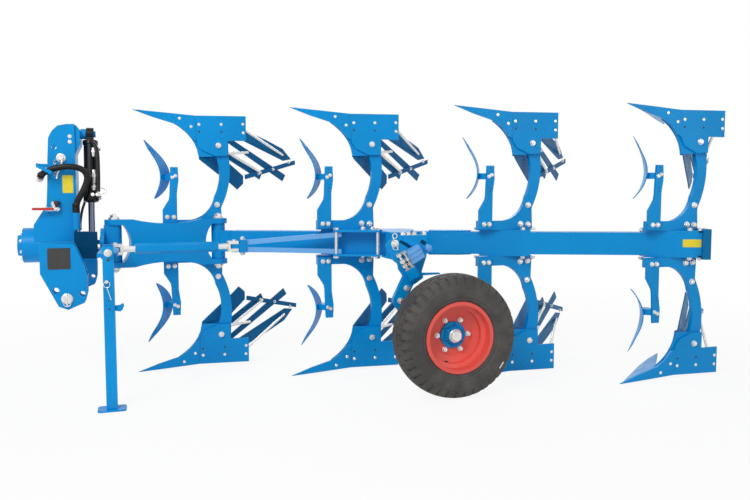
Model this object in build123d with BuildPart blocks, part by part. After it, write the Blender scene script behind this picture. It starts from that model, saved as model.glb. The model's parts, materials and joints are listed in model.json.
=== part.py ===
from build123d import *
import os
from math import atan, atan2, cos, degrees, hypot, pi, radians, sin, tan

# A four-furrow reversible mounted plough with slatted mouldboards, in millimetres.
# While it is being modelled, x = y = 0 is the frog bolt of the first body, z = 0 is the
# height of the turnover axis, +X points to the rear and +Y to the mouldboards' side.
# The finished pieces are moved together, so that the plough stands on z = 0.

# ---------------------------------------------------------------- driving dimensions
body_count = 4
body_pitch = 1000       # along the direction of travel
body_step = 434         # sideways, one furrow's width
axis_height = 907       # from the ground to the turnover axis
beam_side = 150
beam_wall = 8
beam_overhang = 29.6477 # from the last body's frog bolt to the end block
leg_thickness = 32
plate_thickness = 12
landside_thickness = 14
slat_thickness = 8
fit = 0.3               # running clearance on a radius
seat = 0.3              # gap between faces of pieces that move against each other

turn_y = -95            # the turnover axis, beside the first body
housing_front = -1260
housing_rear = -930
housing_radius = 113
shaft_radius = 60
crossbeam_side = 130
crossbeam_x = -998
crossbeam_z = -50
link_span = 965         # between the lower link centres
ear_gap = 60
ear_thickness = 20
link_pin_radius = 18.3
tower_gap = 190
tower_thickness = 16
tower_rear = -925

ram_x = -838
ram_radius = 42
ram_rod_radius = 20
ram_top = 726
crank_radius = 120
ram_eye_width = 44
ram_eye_radius = 30
ram_pin_radius = 15

front_pin = (-705, -90)
rear_pin = (-10, 0)
hinge_pin_radius = 22
hinge_bush_radius = 48
hinge_bush_height = 250
hinge_ear_thickness = 36

wheel_radius = 380
tyre_width = 250
rim_radius = 200
wheel_offset = (270, -816)      # from the second body's frog bolt
pivot_offset = (50, -406)

screw_front = (-690, -400)
screw_rear = (62, -330)
screw_z = -18
screw_pin_radius = 14
stand_place = (-712, -905)
stand_side = 60
stand_pin_radius = 12

# ---------------------------------------------------------------- derived values
beam_angle = degrees(atan2(body_step, body_pitch))
beam_half = beam_side / 2
beam_length = (body_count - 1) * hypot(body_pitch, body_step) + beam_overhang   # from the nose pin
wheel_place = (body_pitch + wheel_offset[0], wheel_offset[1] - body_step)
arm_pivot = (body_pitch + pivot_offset[0], pivot_offset[1] - body_step)
body_places = [(k * body_pitch, -k * body_step, 0) for k in range(body_count)]
ground = -axis_height
edge_height = axis_height
crossbeam_half = link_span / 2 + ear_gap / 2 + ear_thickness
crank_pin = (turn_y - crank_radius, 20)
ram_length = hypot(crank_radius, ram_top - crank_pin[1])
ram_tilt = degrees(atan(crank_radius / (ram_top - crank_pin[1])))

def along_beam(distance, sideways=0):
    """A point beside the beam: distance from the nose pin, sideways to the mouldboards' side."""
    turn = radians(beam_angle)
    x = rear_pin[0] + distance * cos(turn) + sideways * sin(turn)
    y = rear_pin[1] - distance * sin(turn) + sideways * cos(turn)
    return (x, y)

def beam_plane(distance, height=0, sideways=0):
    """A level plane with its x along the beam."""
    x, y = along_beam(distance, sideways)
    turn = radians(beam_angle)
    return Plane(origin=(x, y, height), x_dir=(cos(turn), -sin(turn), 0), z_dir=(0, 0, 1))

def side_plate(outline, near, far):
    """A flat plate in the X-Z plane from y = near to y = far, with straight edges."""
    with BuildPart() as plate:
        with BuildSketch(Plane.XZ.offset(-far)):
            Polygon(*outline, align=None)
        extrude(amount=far - near)
    return plate

def on_every_body(master):
    """The piece on all bodies, with its mirror image on the side below."""
    with BuildPart() as copies:
        with Locations(*body_places):
            add(master.part)
        mirror(about=Plane.XY)
    return copies

# ---------------------------------------------------------------- plough bodies
leg_near = 4
leg_far = leg_near + leg_thickness
toe_front = -388
toe_top = 152
base_top = beam_half + 14
leg_heel = 20

with BuildPart() as leg:
    with BuildSketch(Plane.XZ.offset(-leg_far)):
        with BuildLine():
            Polyline((toe_front, base_top), (toe_front, toe_top), (-195, toe_top))
            ThreePointArc((-195, toe_top), (-92, 203), (-33, 314))
            ThreePointArc((-33, 314), (5, 455), (-16, 600))
            Polyline((-16, 600), (-60, 700), (40, 700), (73, 600))
            ThreePointArc((73, 600), (70, 400), (15, 238))
            Polyline((15, 238), (leg_heel, base_top), (toe_front, base_top))
        make_face()
    extrude(amount=leg_thickness)
    with Locations(Plane(origin=(-13, leg_near, 257), z_dir=(0, -1, 0))):
        Hole(radius=12, depth=leg_thickness * 2)

link_dx = rear_pin[0] - front_pin[0]
link_dy = rear_pin[1] - front_pin[1]
link_length = hypot(link_dx, link_dy)
link_level = Plane(origin=(*front_pin, 0), x_dir=(link_dx, link_dy, 0), z_dir=(0, 0, 1))
link_upright = Plane(origin=(*front_pin, 0), x_dir=(link_dx, link_dy, 0), z_dir=(link_dy, -link_dx, 0))
ear_inner = hinge_bush_height / 2 + seat
ear_outer = ear_inner + hinge_ear_thickness
link_ear_radius = 62
link_far = link_length + 2 * link_ear_radius
link_near = -2 * link_ear_radius
waist = 30              # how far the long edges dip in the middle

def link_body(room):
    """The link frame's outer shape, or the space round it when room is not nought."""
    top = ear_outer + room
    shoulders = (2 * link_ear_radius, link_length - 2 * link_ear_radius)
    with BuildPart() as body:
        with BuildSketch(link_upright):
            with BuildLine():
                Polyline((shoulders[0], -top), (link_near, -top), (link_near, top), (shoulders[0], top))
                ThreePointArc((shoulders[0], top), (link_length / 2, top - waist), (shoulders[1], top))
                Polyline((shoulders[1], top), (link_far, top), (link_far, -top), (shoulders[1], -top))
                ThreePointArc((shoulders[1], -top), (link_length / 2, waist - top), (shoulders[0], -top))
            make_face()
        extrude(amount=2 * link_ear_radius, both=True)
        with BuildSketch(link_level):
            with Locations((link_length / 2, 0)):
                SlotCenterToCenter(link_length, 2 * (link_ear_radius + room))
        extrude(amount=2 * top, both=True, mode=Mode.INTERSECT)
    return body

pin_cap = 14
cap_reach = 1.7 * hinge_pin_radius
with BuildPart() as link_room:
    add(link_body(0.5).part)
    with Locations((*rear_pin, 0)):
        Cylinder(cap_reach + 1, 2 * (ear_outer + pin_cap + 1))

with BuildPart() as legs:
    add(on_every_body(leg).part)
    add(link_room.part, mode=Mode.SUBTRACT)

frog_near = leg_near - plate_thickness
frog = side_plate(
    [(-136, 592), (70, 602), (70, 862), (-215, 862), (-296, 830), (-228, 778), (-177, 716), (-147, 646)],
    frog_near, leg_near)
frogs = on_every_body(frog)

landside_near = frog_near - landside_thickness
landside = side_plate(
    [(-157, 878), (194, 884), (194, 709), (64, 709), (64, 604), (-22, 600), (-118, 642), (-148, 690)],
    landside_near, frog_near)
landsides = on_every_body(landside)

point = side_plate(
    [(-574, edge_height), (-350, 892), (-158, 878), (-150, 700), (-185, 722), (-238, 780),
     (-304, 820), (-436, 858)],
    landside_near, frog_near)
points = on_every_body(point)

share_span = 370
share_sweep = 430
wing_rise = -50         # how far the share's rear edge lags its cutting edge at the wing
with BuildPart() as share:
    with BuildSketch(Plane.XZ.offset(-frog_near)):
        Polygon((-560, edge_height), (-436, 862), (-300, 824), (-296, 834), (-430, 873), (-530, edge_height),
                align=None)
    with BuildSketch(Plane.XZ.offset(-leg_near - share_span)):
        Polygon((share_sweep - 560, edge_height), (share_sweep + wing_rise - 436, 862),
                (share_sweep + 2 * wing_rise - 300, 824), (share_sweep + 2 * wing_rise - 296, 834),
                (share_sweep + wing_rise - 430, 873), (share_sweep - 530, edge_height), align=None)
    loft(ruled=True)
    add(frog.part, mode=Mode.SUBTRACT)
shares = on_every_body(share)

# The slats lie on one leaning plane, the wing plane. Its x runs to the rear along the slats
# and its y upwards; the breast curves from the shin's edge to it.
wing_plane = Plane(origin=(341, 398, 442), x_dir=(0.765, 0.644, 0), z_dir=(0.644, -0.765, -0.10))
breast_rows = [
    (816, (-292, 9), (-108, 32), (58, 111)),
    (740, (-200, 9), (-62, 46), (56, 116)),
    (650, (-146, 9.5), (-44, 62), (50, 122)),
    (586, (-134, 9), (-46, 62), (45, 127)),
]
half_slat = slat_thickness / 2
with BuildPart() as breast:
    for height, near_end, middle, far_end in breast_rows:
        with BuildSketch(Plane.XY.offset(height)):
            with BuildLine():
                ThreePointArc((near_end[0], near_end[1] - half_slat), (middle[0], middle[1] - half_slat),
                              (far_end[0] + 3, far_end[1] - half_slat))
                Line((far_end[0] + 3, far_end[1] - half_slat), (far_end[0] - 3, far_end[1] + half_slat))
                ThreePointArc((far_end[0] - 3, far_end[1] + half_slat), (middle[0], middle[1] + half_slat),
                              (near_end[0], near_end[1] + half_slat))
                Line((near_end[0], near_end[1] + half_slat), (near_end[0], near_end[1] - half_slat))
            make_face()
    loft()
breasts = on_every_body(breast)

slat_start = -399.2
slat_outlines = [
    [(slat_start, 344), (281, 159), (380, 175), (262, 255), (48, 314), (slat_start, 420)],
    [(slat_start, 282), (290, -5), (321, 45), (slat_start, 323)],
    [(slat_start, 166), (11, 4), (32, 49), (slat_start, 224)],
    [(-632, 134), (-427, 28), (-303, -33), (-230, -75), (-172, -31), (-177, 28), (-322, 109), (-380, 144.2),
     (-632, 144.2)],
]
with BuildPart() as slat_set:
    for outline in slat_outlines:
        with BuildSketch(wing_plane):
            Polygon(*outline, align=None)
        extrude(amount=half_slat, both=True)
slats = on_every_body(slat_set)

bar_ends = ((-160, 20), (424, 152))
bar_width = 34
bar_run = (bar_ends[1][0] - bar_ends[0][0], bar_ends[1][1] - bar_ends[0][1])
with BuildPart() as slat_bar:
    with BuildSketch(wing_plane.offset(slat_thickness)):
        with Locations(((bar_ends[0][0] + bar_ends[1][0]) / 2, (bar_ends[0][1] + bar_ends[1][1]) / 2)):
            Rectangle(hypot(*bar_run), bar_width, rotation=degrees(atan2(bar_run[1], bar_run[0])))
    extrude(amount=half_slat, both=True)
slat_bars = on_every_body(slat_bar)

brace_radius = 10
brace_runs = [                      # from the frog or the leg to a point on the wing plane
    ((150, -15, 812), (262, 205, 8)),
    ((35, 22, 650), (12, 58, 10)),
    ((40, 22, 622), (-150, 205, 9)),
]
with BuildPart() as brace_set:
    for start, finish in brace_runs:
        along = wing_plane.from_local_coords(Vector(*finish)) - Vector(*start)
        with BuildSketch(Plane(origin=start, z_dir=along)):
            Circle(brace_radius)
        extrude(amount=along.length)
    for neighbour in (slat_set, slat_bar, frog, landside, leg):
        add(neighbour.part, mode=Mode.SUBTRACT)
braces = on_every_body(brace_set)

# ---------------------------------------------------------------- skimmers
stem_thickness = 16
stem_near = leg_near - stem_thickness
stem = side_plate(
    [(toe_front, base_top + 8), (toe_front, 223), (-345, 293), (-340, 322), (-331, 520), (-280, 520),
     (-276, 430), (-289, 339), (-290, base_top + 8)],
    stem_near, leg_near)
with BuildPart() as stems:
    add(on_every_body(stem).part)
    add(link_room.part, mode=Mode.SUBTRACT)

board_rows = [                      # x, y, z, width, lean
    (-460, 18, 648, 62, 35), (-392, 42, 556, 112, 32), (-364, 58, 452, 128, 30), (-386, 70, 368, 96, 32),
    (-436, 84, 300, 14, 35),
]
with BuildPart() as skimmer_board:
    for x, y, z, width, board_lean in board_rows:
        turn = radians(board_lean)
        with BuildSketch(Plane(origin=(x, y, z), x_dir=(sin(turn), cos(turn), 0), z_dir=(0, 0, -1))):
            Rectangle(width, slat_thickness)
    loft()
skimmer_boards = on_every_body(skimmer_board)

share_rows = [                      # x, y, z, width, thickness, lean
    (-460, 18, 648.5, 64, slat_thickness, 35), (-500, 14, 704, 10, 3, 40),
]
with BuildPart() as skimmer_share:
    for x, y, z, width, thickness, share_lean in share_rows:
        turn = radians(share_lean)
        with BuildSketch(Plane(origin=(x, y, z), x_dir=(sin(turn), cos(turn), 0), z_dir=(0, 0, 1))):
            Rectangle(width, thickness)
    loft(ruled=True)
skimmer_shares = on_every_body(skimmer_share)

with BuildPart() as skimmer_bracket:
    with BuildSketch(Plane.XY.offset(430)):
        Polygon((-336, leg_near), (-284, leg_near), (-296, 96), (-334, 110), (-373, 42), align=None)
    extrude(amount=40)
    add(skimmer_board.part, mode=Mode.SUBTRACT)
skimmer_brackets = on_every_body(skimmer_bracket)

# ---------------------------------------------------------------- body bases on the beam
base_length = 340
base_middle = -150      # from the frog bolt, along the direction of travel
with BuildPart() as base:
    with BuildSketch(beam_plane(base_middle / cos(radians(beam_angle)), beam_half)):
        Rectangle(base_length, beam_side)
    extrude(amount=base_top - beam_half)
with BuildPart() as bases:
    with Locations(*body_places[1:]):
        add(base.part)
    mirror(about=Plane.XY)

# ---------------------------------------------------------------- main beam
with BuildPart() as main_beam:
    with BuildSketch(beam_plane(0)):
        with Locations((beam_length / 2 + 60, 0)):
            Rectangle(beam_length - 120, beam_side)
    extrude(amount=beam_half, both=True)
    with BuildSketch(beam_plane(0)):
        with Locations((beam_length / 2 + 60, 0)):
            Rectangle(beam_length, beam_side - 2 * beam_wall)
    extrude(amount=beam_half - beam_wall, both=True, mode=Mode.SUBTRACT)

end_plate_thickness = 50
end_plate_side = 200
with BuildPart() as beam_end:
    with BuildSketch(beam_plane(beam_length)):
        with Locations((end_plate_thickness / 2, 0)):
            Rectangle(end_plate_thickness, end_plate_side)
    extrude(amount=end_plate_side / 2, both=True)

doubler_thickness = 8
doubler_start = hypot(body_pitch, body_step) + 409.8826    # past the second body's frog bolt
doubler_run = [(0, -60), (0, 60), (200, 60), (290, 24), (290, -24), (200, -60)]    # along, sideways
with BuildPart() as beam_doublers:
    for side in (-1, 1):
        with BuildSketch(beam_plane(doubler_start, side * beam_half)):
            Polygon(*doubler_run, align=None)
        extrude(amount=side * doubler_thickness)

nose_reach = 120
with BuildPart() as beam_nose:
    with BuildSketch(Plane(origin=(*rear_pin, 0))):
        Circle(hinge_bush_radius)
    extrude(amount=hinge_bush_height / 2, both=True)
    with BuildSketch(beam_plane(nose_reach / 2)):
        Rectangle(nose_reach, hinge_bush_radius * 1.6)
    extrude(amount=beam_half, both=True)
    with Locations((*rear_pin, 0)):
        Cylinder(hinge_pin_radius + fit, hinge_bush_height * 2, mode=Mode.SUBTRACT)

# ---------------------------------------------------------------- link frame
notch_reach = 100       # from the pin to the middle of the web's hollow end
notch_start = hinge_bush_radius + 6
with BuildPart() as link_frame:
    add(link_body(0).part)
    with BuildSketch(link_upright):
        for end, away in ((0, 1), (link_length, -1)):
            with BuildLine():
                Polyline((end + away * notch_start, -ear_inner), (end - away * 3 * link_ear_radius, -ear_inner),
                         (end - away * 3 * link_ear_radius, ear_inner), (end + away * notch_start, ear_inner))
                ThreePointArc((end + away * notch_start, ear_inner), (end + away * notch_reach, 0),
                              (end + away * notch_start, -ear_inner))
            make_face()
    extrude(amount=2 * link_ear_radius, both=True, mode=Mode.SUBTRACT)
    with BuildSketch(link_level):
        with Locations((0, 0), (link_length, 0)):
            Circle(hinge_pin_radius + fit)
    extrude(amount=2 * ear_outer, both=True, mode=Mode.SUBTRACT)

with BuildPart() as hinge_pins:
    for place in (front_pin, rear_pin):
        with BuildSketch(Plane(origin=(*place, -ear_outer - pin_cap))):
            Circle(hinge_pin_radius)
        extrude(amount=2 * (ear_outer + pin_cap))
        for side in (-1, 1):
            with BuildSketch(Plane(origin=(*place, side * (ear_outer + seat)), z_dir=(0, 0, side))):
                Circle(cap_reach)
            extrude(amount=pin_cap)

# ---------------------------------------------------------------- rotor
ram_plane = (ram_x - ram_eye_width / 2, ram_x + ram_eye_width / 2)
crank_front = ram_plane[1] + 26
crank_rear = crank_front + 26
flange_front = housing_rear + 3
flange_rear = ram_plane[0] - 6
neck_top = ram_top - ram_length - ram_eye_radius - 6
neck_radius = crank_radius - ram_eye_radius - 6
across_axis = Plane(origin=(0, turn_y, 0), x_dir=(0, 1, 0), z_dir=(1, 0, 0))
with BuildPart() as rotor:
    with BuildSketch(across_axis.offset(housing_front + 30)):
        Circle(shaft_radius)
    extrude(amount=flange_front - housing_front - 30)
    with BuildSketch(across_axis.offset(flange_front)):
        Circle(crank_radius - ram_eye_radius - 4)
    extrude(amount=flange_rear - flange_front)
    with BuildSketch(across_axis.offset(flange_rear)):
        Circle(neck_radius)
        with Locations((0, neck_top + 200)):
            Rectangle(400, 400, mode=Mode.SUBTRACT)
    extrude(amount=crank_front - flange_rear)
    with BuildSketch(across_axis.offset(crank_front)):
        Circle(105)
        with Locations((-crank_radius, crank_pin[1])):
            Circle(34)
        with Locations((-crank_radius / 2, crank_pin[1])):
            Rectangle(crank_radius, 68)
    extrude(amount=crank_rear - crank_front)
    with BuildSketch(Plane(origin=(*front_pin, 0))):
        Circle(hinge_bush_radius)
        with Locations(((crank_rear - front_pin[0] - 5) / 2, 0)):
            Rectangle(front_pin[0] - crank_rear + 5, 2 * hinge_bush_radius)
    extrude(amount=hinge_bush_height / 2, both=True)
    with Locations((*front_pin, 0)):
        Cylinder(hinge_pin_radius + fit, hinge_bush_height * 2, mode=Mode.SUBTRACT)
    with BuildSketch(Plane(origin=(crank_front - 23, *crank_pin), z_dir=(1, 0, 0))):
        Circle(ram_pin_radius)
    extrude(amount=23)

lug_height = -18
lug_thickness = 24
lug_front = crank_rear - 10
lug_rear = screw_front[0] + 24
with BuildPart() as lug_plate:
    with BuildSketch(Plane.XY.offset(lug_height)):
        Polygon((lug_front, turn_y - 20), (lug_rear - 14, turn_y - 20), (lug_rear - 14, -240), (lug_rear, -330),
                (lug_rear, stand_place[1] + stand_side / 2 + seat),
                (lug_front, stand_place[1] + stand_side / 2 + seat), align=None)
        with Locations((screw_front[0], screw_front[1])):
            Circle(screw_pin_radius + fit, mode=Mode.SUBTRACT)
    extrude(amount=lug_thickness / 2, both=True)
    with BuildSketch(Plane.XZ.offset(-stand_place[1] - stand_side / 2 - seat)):
        with Locations((stand_place[0], 0)):
            Rectangle(stand_side - 4, 2 * stand_side - 30)
    extrude(amount=-16)
    with BuildSketch(Plane.XZ.offset(-stand_place[1])):
        with Locations((stand_place[0], 0)):
            Circle(stand_pin_radius + fit)
    extrude(amount=2 * stand_side, both=True, mode=Mode.SUBTRACT)
    add(rotor.part, mode=Mode.SUBTRACT)

# ---------------------------------------------------------------- turnbuckle and draw bracket
screw_dx = screw_rear[0] - screw_front[0]
screw_dy = screw_rear[1] - screw_front[1]
screw_length = hypot(screw_dx, screw_dy)
screw_axis = Plane(origin=(*screw_front, screw_z), x_dir=(0, 0, 1), z_dir=(screw_dx, screw_dy, 0))
hex_side = 60
hex_start = 120
hex_end = screw_length - 110
with BuildPart() as turnbuckle:
    with BuildSketch(screw_axis.offset(hex_start)):
        RegularPolygon(hex_side / 2, 6, major_radius=False)
    extrude(amount=hex_end - hex_start)

fork_width = 56
fork_gap = 30
with BuildPart() as screw_ends:
    for start, finish, direction in ((0, hex_start, 1), (screw_length, hex_end, -1)):
        with BuildSketch(screw_axis.offset(start - direction * 26)):
            Rectangle(fork_width + 14, fork_width)
        extrude(amount=direction * 70)
        with BuildSketch(screw_axis.offset(start + direction * 44)):
            Circle(19)
        extrude(amount=finish - start - direction * 44)
        with BuildSketch(screw_axis.offset(start - direction * 27)):
            Rectangle(fork_gap, fork_width + 20)
        extrude(amount=direction * 55, mode=Mode.SUBTRACT)
    for place in (screw_front, screw_rear):
        with Locations((*place, screw_z)):
            Cylinder(screw_pin_radius + fit, 200, mode=Mode.SUBTRACT)

with BuildPart() as screw_pins:
    for place in (screw_front, screw_rear):
        with Locations((*place, screw_z)):
            Cylinder(screw_pin_radius, fork_width + 14 + 16)

block_half = 44
block_start = screw_rear[0] + 34
block_end = block_start + 46
with BuildPart() as draw_block:
    with BuildSketch(Plane(origin=((block_start + block_end) / 2, screw_rear[1], screw_z))):
        Rectangle(block_end - block_start, 64)
    extrude(amount=block_half, both=True)
    with BuildSketch(Plane(origin=(*screw_rear, screw_z))):
        Circle(25)
        with Locations((20, 0)):
            Rectangle(40, 50)
    extrude(amount=fork_gap / 2 - seat, both=True)
    with Locations((*screw_rear, screw_z)):
        Cylinder(screw_pin_radius + fit, 60, mode=Mode.SUBTRACT)

clamp_spread = 142
clamp_middle = 1020
clamp_sideways = -beam_half - 92
arm_end = along_beam(clamp_middle - clamp_spread, clamp_sideways)
arm_height = 32
arm_thickness_draw = 28
strip_top = base_top - beam_half
with BuildPart() as draw_arms:
    for side in (-1, 1):
        arm_start = (block_end, screw_rear[1], screw_z + side * 24)
        arm_finish = (arm_end[0] + 34, arm_end[1], side * (beam_half - arm_height / 2 - 1))
        along = Vector(*arm_finish) - Vector(*arm_start)
        with BuildSketch(Plane(origin=arm_start, x_dir=(0, 0, 1), z_dir=(1, 0, 0))):
            Rectangle(arm_height, arm_thickness_draw)
        with BuildSketch(Plane(origin=arm_finish, x_dir=(0, 0, 1), z_dir=(1, 0, 0))):
            Rectangle(arm_height, arm_thickness_draw)
        loft(ruled=True)
    with Locations((*arm_end, 0)):
        Cylinder(12 + fit, beam_side * 2, mode=Mode.SUBTRACT)

with BuildPart() as clamp_plates:
    for side in (-1, 1):
        with BuildSketch(beam_plane(clamp_middle, side * beam_half, (clamp_sideways - 26 - beam_half) / 2)):
            Rectangle(2 * (clamp_spread + 16), -clamp_sideways + 26 - beam_half)
        extrude(amount=side * strip_top)
    for distance in (clamp_middle - clamp_spread, clamp_middle + clamp_spread):
        with Locations((*along_beam(distance, clamp_sideways), 0)):
            Cylinder(12 + fit, beam_side * 2, mode=Mode.SUBTRACT)

with BuildPart() as clamp_bolts:
    for distance in (clamp_middle - clamp_spread, clamp_middle + clamp_spread):
        with Locations((*along_beam(distance, clamp_sideways), 0)):
            Cylinder(12, 2 * base_top + 30)
        for side in (-1, 1):
            x, y = along_beam(distance, clamp_sideways)
            with BuildSketch(Plane(origin=(x, y, side * (base_top + seat)), z_dir=(0, 0, side))):
                RegularPolygon(21, 6)
            extrude(amount=14)

# ---------------------------------------------------------------- depth wheel
hub_x, hub_y = wheel_place
hub_z = ground + wheel_radius
wheel_axis = Plane(origin=(hub_x, hub_y, hub_z), x_dir=(1, 0, 0), z_dir=(0, -1, 0))
wheel_middle = Axis((hub_x, hub_y, hub_z), (0, 1, 0))
section_plane = Plane(origin=(hub_x, hub_y, hub_z), x_dir=(0, 1, 0), z_dir=(1, 0, 0))
half_tyre = tyre_width / 2
bead_seat = rim_radius + 2
flange_height = 16
flange_at = half_tyre - 30
with BuildPart() as tyre:
    with BuildSketch(section_plane):
        with BuildLine():
            Polyline((-flange_at, bead_seat + fit), (-flange_at, bead_seat + flange_height + 3),
                     (-flange_at - 14, bead_seat + flange_height + 16))
            ThreePointArc((-flange_at - 14, bead_seat + flange_height + 16), (-half_tyre, 290),
                          (-half_tyre + 24, wheel_radius - 30))
            ThreePointArc((-half_tyre + 24, wheel_radius - 30), (0, wheel_radius),
                          (half_tyre - 24, wheel_radius - 30))
            ThreePointArc((half_tyre - 24, wheel_radius - 30), (half_tyre, 290),
                          (flange_at + 14, bead_seat + flange_height + 16))
            Polyline((flange_at + 14, bead_seat + flange_height + 16), (flange_at, bead_seat + flange_height + 3),
                     (flange_at, bead_seat + fit), (flange_at - 18, bead_seat + fit),
                     (flange_at - 4, bead_seat + 44))
            ThreePointArc((flange_at - 4, bead_seat + 44), (0, wheel_radius - 44),
                          (4 - flange_at, bead_seat + 44))
            Polyline((4 - flange_at, bead_seat + 44), (18 - flange_at, bead_seat + fit),
                     (-flange_at, bead_seat + fit))
        make_face()
    revolve(axis=wheel_middle)

disc_at = 18
disc_thickness = 10
pilot_radius = 62
stud_circle = 102.5
stud_count = 6
well_depth = 24
rim_wall = 6
with BuildPart() as rim:
    with BuildSketch(section_plane):
        Polygon((-flange_at - 7, bead_seat + flange_height), (-flange_at - fit, bead_seat + flange_height),
                (-flange_at - fit, bead_seat), (-34, bead_seat), (-22, bead_seat - well_depth),
                (22, bead_seat - well_depth), (34, bead_seat), (flange_at + fit, bead_seat),
                (flange_at + fit, bead_seat + flange_height), (flange_at + 7, bead_seat + flange_height),
                (flange_at + 7, bead_seat - rim_wall), (36, bead_seat - rim_wall),
                (25, bead_seat - well_depth - rim_wall), (disc_at + 4, bead_seat - well_depth - rim_wall),
                (disc_at + disc_thickness, 132), (disc_at + disc_thickness, pilot_radius), (disc_at, pilot_radius),
                (disc_at, 132), (disc_at - 12, bead_seat - well_depth - rim_wall),
                (-25, bead_seat - well_depth - rim_wall), (-36, bead_seat - rim_wall),
                (-flange_at - 7, bead_seat - rim_wall), align=None)
    revolve(axis=wheel_middle)
    with BuildSketch(wheel_axis.offset(-disc_at - 30)):
        with PolarLocations(stud_circle, stud_count):
            Circle(9.5)
    extrude(amount=40, mode=Mode.SUBTRACT)

axle_radius = 22
hub_flange = 14
hub_rear = disc_at + disc_thickness + hub_flange
hub_front = disc_at - 44
with BuildPart() as hub:
    with BuildSketch(section_plane):
        Polygon((hub_rear, axle_radius + fit), (hub_rear, 122), (disc_at + disc_thickness, 122),
                (disc_at + disc_thickness, pilot_radius - fit), (disc_at - 14, pilot_radius - fit), (hub_front, 44),
                (hub_front, axle_radius + fit), align=None)
    revolve(axis=wheel_middle)
    with BuildSketch(wheel_axis.offset(-hub_rear - 10)):
        with PolarLocations(stud_circle, stud_count):
            Circle(9.5)
    extrude(amount=40, mode=Mode.SUBTRACT)

pivot_x, pivot_y = arm_pivot
pivot_radius = 24
bush_half = 60
head_gap = 5
head_thickness = 18
head_back = pivot_y - bush_half - head_gap
arm_thickness = 36
arm_near = head_back - arm_thickness
arm_width = 84
arm_bends = [(pivot_x, 0), (pivot_x + 54, -196), (pivot_x - 20, -346), (pivot_x + 60, -460), (hub_x, hub_z)]
nut_height = 22
with BuildPart() as axle:
    with BuildSketch(wheel_axis.offset(hub_y - arm_near - arm_thickness)):
        Circle(axle_radius)
    extrude(amount=arm_near + arm_thickness - hub_y - hub_front + 2)
    with BuildSketch(wheel_axis.offset(hub_y - arm_near)):
        Circle(48)
    extrude(amount=arm_near - hub_y - hub_rear - 2)
    with BuildSketch(wheel_axis.offset(-hub_front + 2)):
        RegularPolygon(32, 6)
    extrude(amount=nut_height)

head_outline = [                    # from the arm's pivot
    (-114, 1), (-79, 44), (-44, 64), (164, 64), (164, -66), (131, -163), (143, -206), (83, -246), (4, -244),
    (9, -197), (-26, -147), (-32, -112), (-61, -91), (-75, -49),
]
with BuildPart() as wheel_arm:
    for depth, bends in ((arm_thickness, arm_bends[1:]), (arm_thickness - head_thickness, arm_bends[:2])):
        with BuildSketch(Plane(origin=(0, head_back, 0), x_dir=(1, 0, 0), z_dir=(0, -1, 0))):
            for start, finish in zip(bends, bends[1:]):
                run = (finish[0] - start[0], finish[1] - start[1])
                with Locations(((start[0] + finish[0]) / 2, (start[1] + finish[1]) / 2)):
                    SlotCenterToCenter(hypot(*run), arm_width, rotation=degrees(atan2(run[1], run[0])))
            with Locations((hub_x, hub_z)):
                Circle(axle_radius, mode=Mode.SUBTRACT)
        extrude(amount=depth)
    with BuildSketch(Plane(origin=(pivot_x, arm_near + head_thickness, 0), x_dir=(1, 0, 0), z_dir=(0, -1, 0))):
        Polygon(*head_outline, align=None)
    extrude(amount=head_thickness)
    with BuildSketch(Plane(origin=(pivot_x, head_back - 1, 0), z_dir=(0, 1, 0))):
        Circle(40)
    extrude(amount=head_gap + 1 - seat)
    with BuildSketch(Plane(origin=(pivot_x, head_back - 1, 0), z_dir=(0, 1, 0))):
        Circle(pivot_radius)
    extrude(amount=head_gap + 2 * bush_half + 20)

bracket_wall = 12
bracket_reach = 130
with BuildPart() as wheel_bracket:
    with BuildSketch(Plane(origin=(pivot_x, pivot_y - bush_half, 0), z_dir=(0, 1, 0))):
        Circle(62)
    extrude(amount=2 * bush_half)
    for side in (-1, 1):
        wall_start = beam_half if side > 0 else -beam_half - bracket_wall
        with BuildSketch(Plane.XY.offset(wall_start)):
            Polygon((pivot_x - 60, pivot_y - bush_half), (pivot_x + 62, pivot_y - bush_half),
                    (pivot_x + bracket_reach + 110, pivot_y + 340), (pivot_x + bracket_reach + 60, pivot_y + 460),
                    (pivot_x - 4, pivot_y + 445), (pivot_x - 4, pivot_y + 280), (pivot_x - 60, pivot_y + 150),
                    align=None)
        extrude(amount=bracket_wall)
    with BuildSketch(Plane.XZ.offset(-pivot_y - bush_half)):
        with Locations((pivot_x, 0)):
            Rectangle(120, 2 * beam_half)
    extrude(amount=2 * bush_half)
    with BuildSketch(Plane(origin=(pivot_x, pivot_y - bush_half - 1, 0), z_dir=(0, 1, 0))):
        Circle(pivot_radius + fit)
    extrude(amount=2 * bush_half + 2, mode=Mode.SUBTRACT)
    add(main_beam.part, mode=Mode.SUBTRACT)

buffer_middle = (pivot_x + 70, -50)
buffer_slant = 31
buffer_side = 90
with BuildPart() as arm_buffer:
    with BuildSketch(Plane.XZ.offset(-arm_near)):
        with Locations(buffer_middle):
            Rectangle(buffer_side, buffer_side, rotation=buffer_slant)
    extrude(amount=58)

stop_middle = (pivot_x + 57, -175)
stop_slant = 28
stop_side = 74
with BuildPart() as arm_stop:
    with BuildSketch(Plane.XZ.offset(-arm_near)):
        with Locations(stop_middle):
            Rectangle(stop_side, stop_side, rotation=stop_slant)
    extrude(amount=40)

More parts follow.
